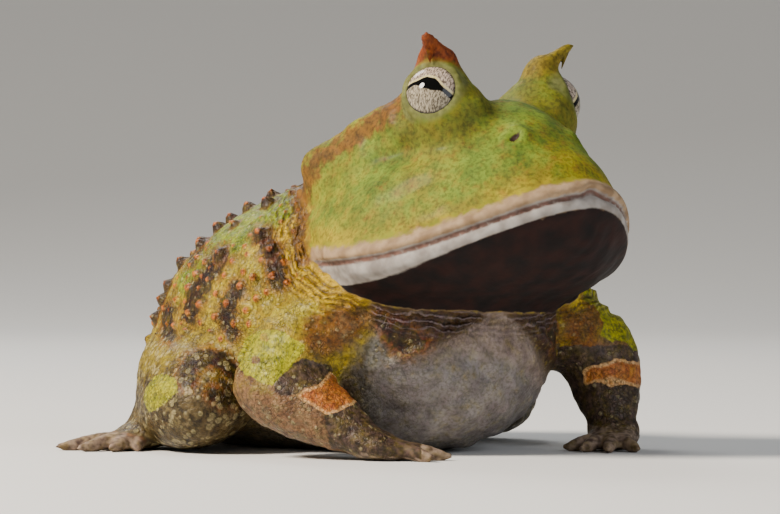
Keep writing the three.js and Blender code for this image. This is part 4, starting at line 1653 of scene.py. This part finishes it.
def skin_material() -> bpy.types.Material:
    """Moist frog skin: thin, faintly translucent and mottled, under a film of water."""
    n = Nodes("moist_horned_frog_skin")
    rough = n.value("rough")
    base = painted(n)
    dot = granules(n)
    base = n.mix(n.times(dot, 0.7), base, n.mix(0.42, base, srgb("cfc08a")))
    crack = creases(n, rough)
    # Painted shade: the crease net is darkened towards dark brown.
    base = n.mix(n.times(crack, 0.5), base, srgb("2a1a0c"))
    wave, reach = neck_folds(n, rough)
    # Painted highlight: pale mauve on the crests of the neck folds over the dark chest.
    on_dark = n.step(n.value("chest_dark"), -1.0, 0.5)
    crest = n.times(n.step(wave, 0.3, 0.9), reach, on_dark)
    base = n.mix(n.times(crest, 0.55), base, srgb("86767a"))
    # Painted shade: dark brown in the valleys between the neck folds.
    valley_shade = n.times(n.step(wave, 0.2, -0.9), reach)
    base = n.mix(n.times(valley_shade, 0.7), base, srgb("3a2208"))
    specks = n.mix(n.step(n.noise(0.5, 2.0), -0.75, 0.4), srgb("9b9a80"), srgb("ffffff"))
    base = n.add(
        "Mix",
        {0: n.times(n.value("grit"), 0.8), 6: base, 7: specks},
        data_type="RGBA",
        blend_type="MULTIPLY",
    ).outputs[2]
    height = n.total(
        n.times(dot, GRANULE_HEIGHT),
        n.times(crack, -CREASE_DEPTH),
        n.times(wave, reach, NECK_FOLD_HEIGHT),
        n.times(n.noise(0.45, 2.0), n.times(n.value("grit"), TOOTH_HEIGHT)),
        n.times(n.noise(2.6, 2.0), SWELL_HEIGHT),
    )
    relief = n.add("Bump", {"Strength": 1.0, "Distance": MM, "Height": height})
    dull = n.step(n.value("throat"), -0.5, 0.5)
    moist = n.sum("SUBTRACT", 0.74, n.times(rough, 0.24))
    return n.surfaced(
        {
            "Base Color": base,
            "Roughness": n.scaled(dull, 0.1, moist),
            "Normal": relief.outputs[0],
            "Subsurface Weight": 0.06,
            "Subsurface Scale": 0.5 * MM,
            "Subsurface Radius": (1.0, 0.45, 0.25),
            "Coat Weight": 0.02,
            "Coat Roughness": 0.2,
            "Specular IOR Level": 0.25,
        }
    )


# Eyes


def eyeball(eye: Eye, pose: HeadPose, rings: int = 120) -> bpy.types.Object:
    """The ball of an eye, with each point's place on it given along its slit, across, and out.

    Args:
        eye: the eye.
        pose: the head's.
        rings: rings from the front of the ball to its back.

    Returns:
        The ball as an object with the three places, in radii, as named values.
    """
    ahead, up, out = eye.axes()
    cos, sin = math.cos(eye.slit_tilt), math.sin(eye.slit_tilt)
    axes = np.stack([ahead * cos - up * sin, up * cos + ahead * sin, out])
    tilt = np.linspace(0, np.pi, rings)[:, None]
    turn = np.linspace(0, 2 * np.pi, 2 * rings, endpoint=False)[None, :]
    unit = np.stack(
        [np.sin(tilt) * np.cos(turn), np.sin(tilt) * np.sin(turn), np.cos(tilt) + 0 * turn], -1
    )
    form = Surface.from_grid(eye.centre() + eye.radius * (unit @ axes))
    made = new_object(f"eye_{eye.side.name.lower()}", pose.to_frog(form.points), form.faces)
    note(made, dict(zip(("slit_along", "slit_across", "gaze"), unit.reshape(-1, 3).T)))
    return made


# The eye's pupil and iris, in radii of the ball
PUPIL_HALF = 0.04
PUPIL_WIDENING = 0.06
PUPIL_BULGE = 0.16
PUPIL_RISE = 0.08
PUPIL_DROOP = -0.34
IRIS_EDGE = (0.66, 0.58)


def eye_material() -> bpy.types.Material:
    """A frog's eye: a silvery iris with dark netting behind a clear wet cornea, pupil a slit."""
    n = Nodes("silver_iris_wet_cornea")
    along, across = n.value("slit_along"), n.value("slit_across")
    middle = n.scaled(n.times(along, along), PUPIL_DROOP, PUPIL_RISE)
    bulge = n.step(n.sum("ABSOLUTE", n.sum("SUBTRACT", along, 0.04)), 0.5, 0.1)
    slit = n.scaled(n.sum("ABSOLUTE", along), PUPIL_WIDENING, PUPIL_HALF)
    half = n.total(slit, n.times(bulge, PUPIL_BULGE))
    lift = n.sum("SUBTRACT", across, middle)
    dark = n.step(n.sum("SUBTRACT", n.sum("ABSOLUTE", lift), half), 0.015, -0.015)
    arc = n.sum("ABSOLUTE", n.sum("SUBTRACT", n.sum("SUBTRACT", lift, half), 0.045))
    drawn_out = n.add("CombineXYZ", {0: along, 1: n.times(across, 0.4), 2: 0.0})
    net = n.add(
        "TexNoise",
        {"Vector": drawn_out.outputs[0], "Scale": 24.0, "Detail": 5.0, "Distortion": 0.7},
    )
    fine = n.step(net.outputs["Fac"], 0.38, 0.62)
    upper = n.mix(n.step(lift, 0.0, 0.3), srgb("a79c86"), srgb("c3af9b"))
    iris = n.mix(n.scaled(fine, 0.85, 0.15), srgb("2e241a"), upper)
    iris = n.mix(n.times(n.step(arc, 0.06, 0.02), 0.7), iris, srgb("d6c788"))
    colour = n.mix(dark, iris, srgb("060504"))
    colour = n.mix(n.step(n.value("gaze"), *IRIS_EDGE), colour, srgb("1a1310"))
    return n.surfaced(
        {
            "Base Color": colour,
            "Roughness": 0.35,
            "Specular IOR Level": 0.0,
            "Coat Weight": 1.0,
            "Coat Roughness": 0.03,
            "Coat IOR": 1.34,
        }
    )


# The studio


# The floor in millimetres: how far it runs, where it starts to rise, how gently, where the
# rise ends, and how far it goes to either side
FLOOR_REACH = 1500
FLOOR_BEND = 500
FLOOR_CURVE = 700
FLOOR_TOP = 1599
FLOOR_WIDTH = 1600


def studio_floor() -> bpy.types.Object:
    """A pale sheet that lies flat under the animal and sweeps up behind it."""
    right, _, back = VIEW.axes()
    away = -np.array([back[0], back[1], 0.0]) / math.hypot(back[0], back[1])
    run = np.linspace(-FLOOR_REACH, FLOOR_REACH, 121)
    turn = np.clip((run - FLOOR_BEND) / FLOOR_CURVE, 0, np.pi / 2)
    rise = np.where(run < FLOOR_BEND, 0.0, FLOOR_BEND * (1 - np.cos(turn)))
    rise = rise + np.clip(run - FLOOR_TOP, 0, None)
    width = np.linspace(-FLOOR_WIDTH, FLOOR_WIDTH, 41)
    flat = away * run[:, None, None] + right * width[None, :, None]
    grid = flat + [0, 0, 1] * rise[:, None, None]
    index = np.arange(run.size * width.size).reshape(run.size, width.size)
    faces = np.stack([index[:-1, :-1], index[:-1, 1:], index[1:, 1:], index[1:, :-1]], -1)
    made = new_object("studio_floor", grid.reshape(-1, 3), faces.reshape(-1, 4))
    paper = {"Base Color": srgb("e2e1dd"), "Roughness": 0.9}
    made.data.materials.append(Nodes("matt_pale_paper").surfaced(paper))
    return made


# The height that the lamps point at, in millimetres
LAMP_AIM = 25


@dataclass(frozen=True)
class Lamp:
    """A soft round light: where it stands in the view's frame, its size and its power."""

    name: str
    right: float
    up: float
    near: float
    size: float
    power: float
    colour: str = "ffffff"

    def lit(self) -> None:
        """Adds the light, turned to face the animal."""
        axes = VIEW.axes()
        place = (np.array([self.right, self.up, self.near]) @ axes + [0, 0, LAMP_AIM]) * MM
        data = bpy.data.lights.new(self.name, "AREA")
        data.shape = "DISK"
        data.size = self.size * MM
        data.energy = self.power
        data.color = srgb(self.colour)[:3]
        made = bpy.data.objects.new(self.name, data)
        made.location = place
        towards = Vector((0, 0, LAMP_AIM * MM)) - Vector(place)
        made.rotation_euler = towards.to_track_quat("-Z", "Y").to_euler()
        bpy.context.scene.collection.objects.link(made)


LAMPS = (
    Lamp("key", -470, 420, 230, 200, 10.5, "fff4e6"),
    Lamp("fill", 420, 200, 460, 420, 1.6, "eef4ff"),
    Lamp("rim", -160, 380, -420, 300, 1.4),
)


def light_studio() -> None:
    """Sets the lamps and a faint even light from all round."""
    for lamp in LAMPS:
        lamp.lit()
    world = bpy.data.worlds.new("studio")
    world.use_nodes = True
    background = world.node_tree.nodes["Background"]
    background.inputs["Color"].default_value = srgb("e8ecf0")
    background.inputs["Strength"].default_value = 0.24
    bpy.context.scene.world = world


FLESH = (
    "head", "lower_jaw", "torso", "horn_right", "horn_left",
    "upper_arm_right", "upper_arm_left", "forearm_right", "forearm_left", "hand_right", "hand_left",
    "thigh_right", "thigh_left", "shank_right", "shank_left", "foot_right", "foot_left",
)  # fmt: skip


def main() -> None:
    """Builds the frog and its studio, and logs how many faces the skin has."""
    logging.basicConfig(level=logging.INFO, format="%(message)s")
    frog = Frog()
    skin = Skin(frog).object()
    skin.data.materials.append(skin_material())
    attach(skin, "root")
    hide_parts(*FLESH)
    LOG.info("skin: %d faces", len(skin.data.polygons))
    iris = eye_material()
    for eye in frog.eyes:
        ball = eyeball(eye, frog.pose)
        ball.data.materials.append(iris)
        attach(ball, "root")
        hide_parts(f"eye_{eye.side.name.lower()}")
    studio_floor()
    light_studio()
    VIEW.camera()


if __name__ == "__main__":
    main()
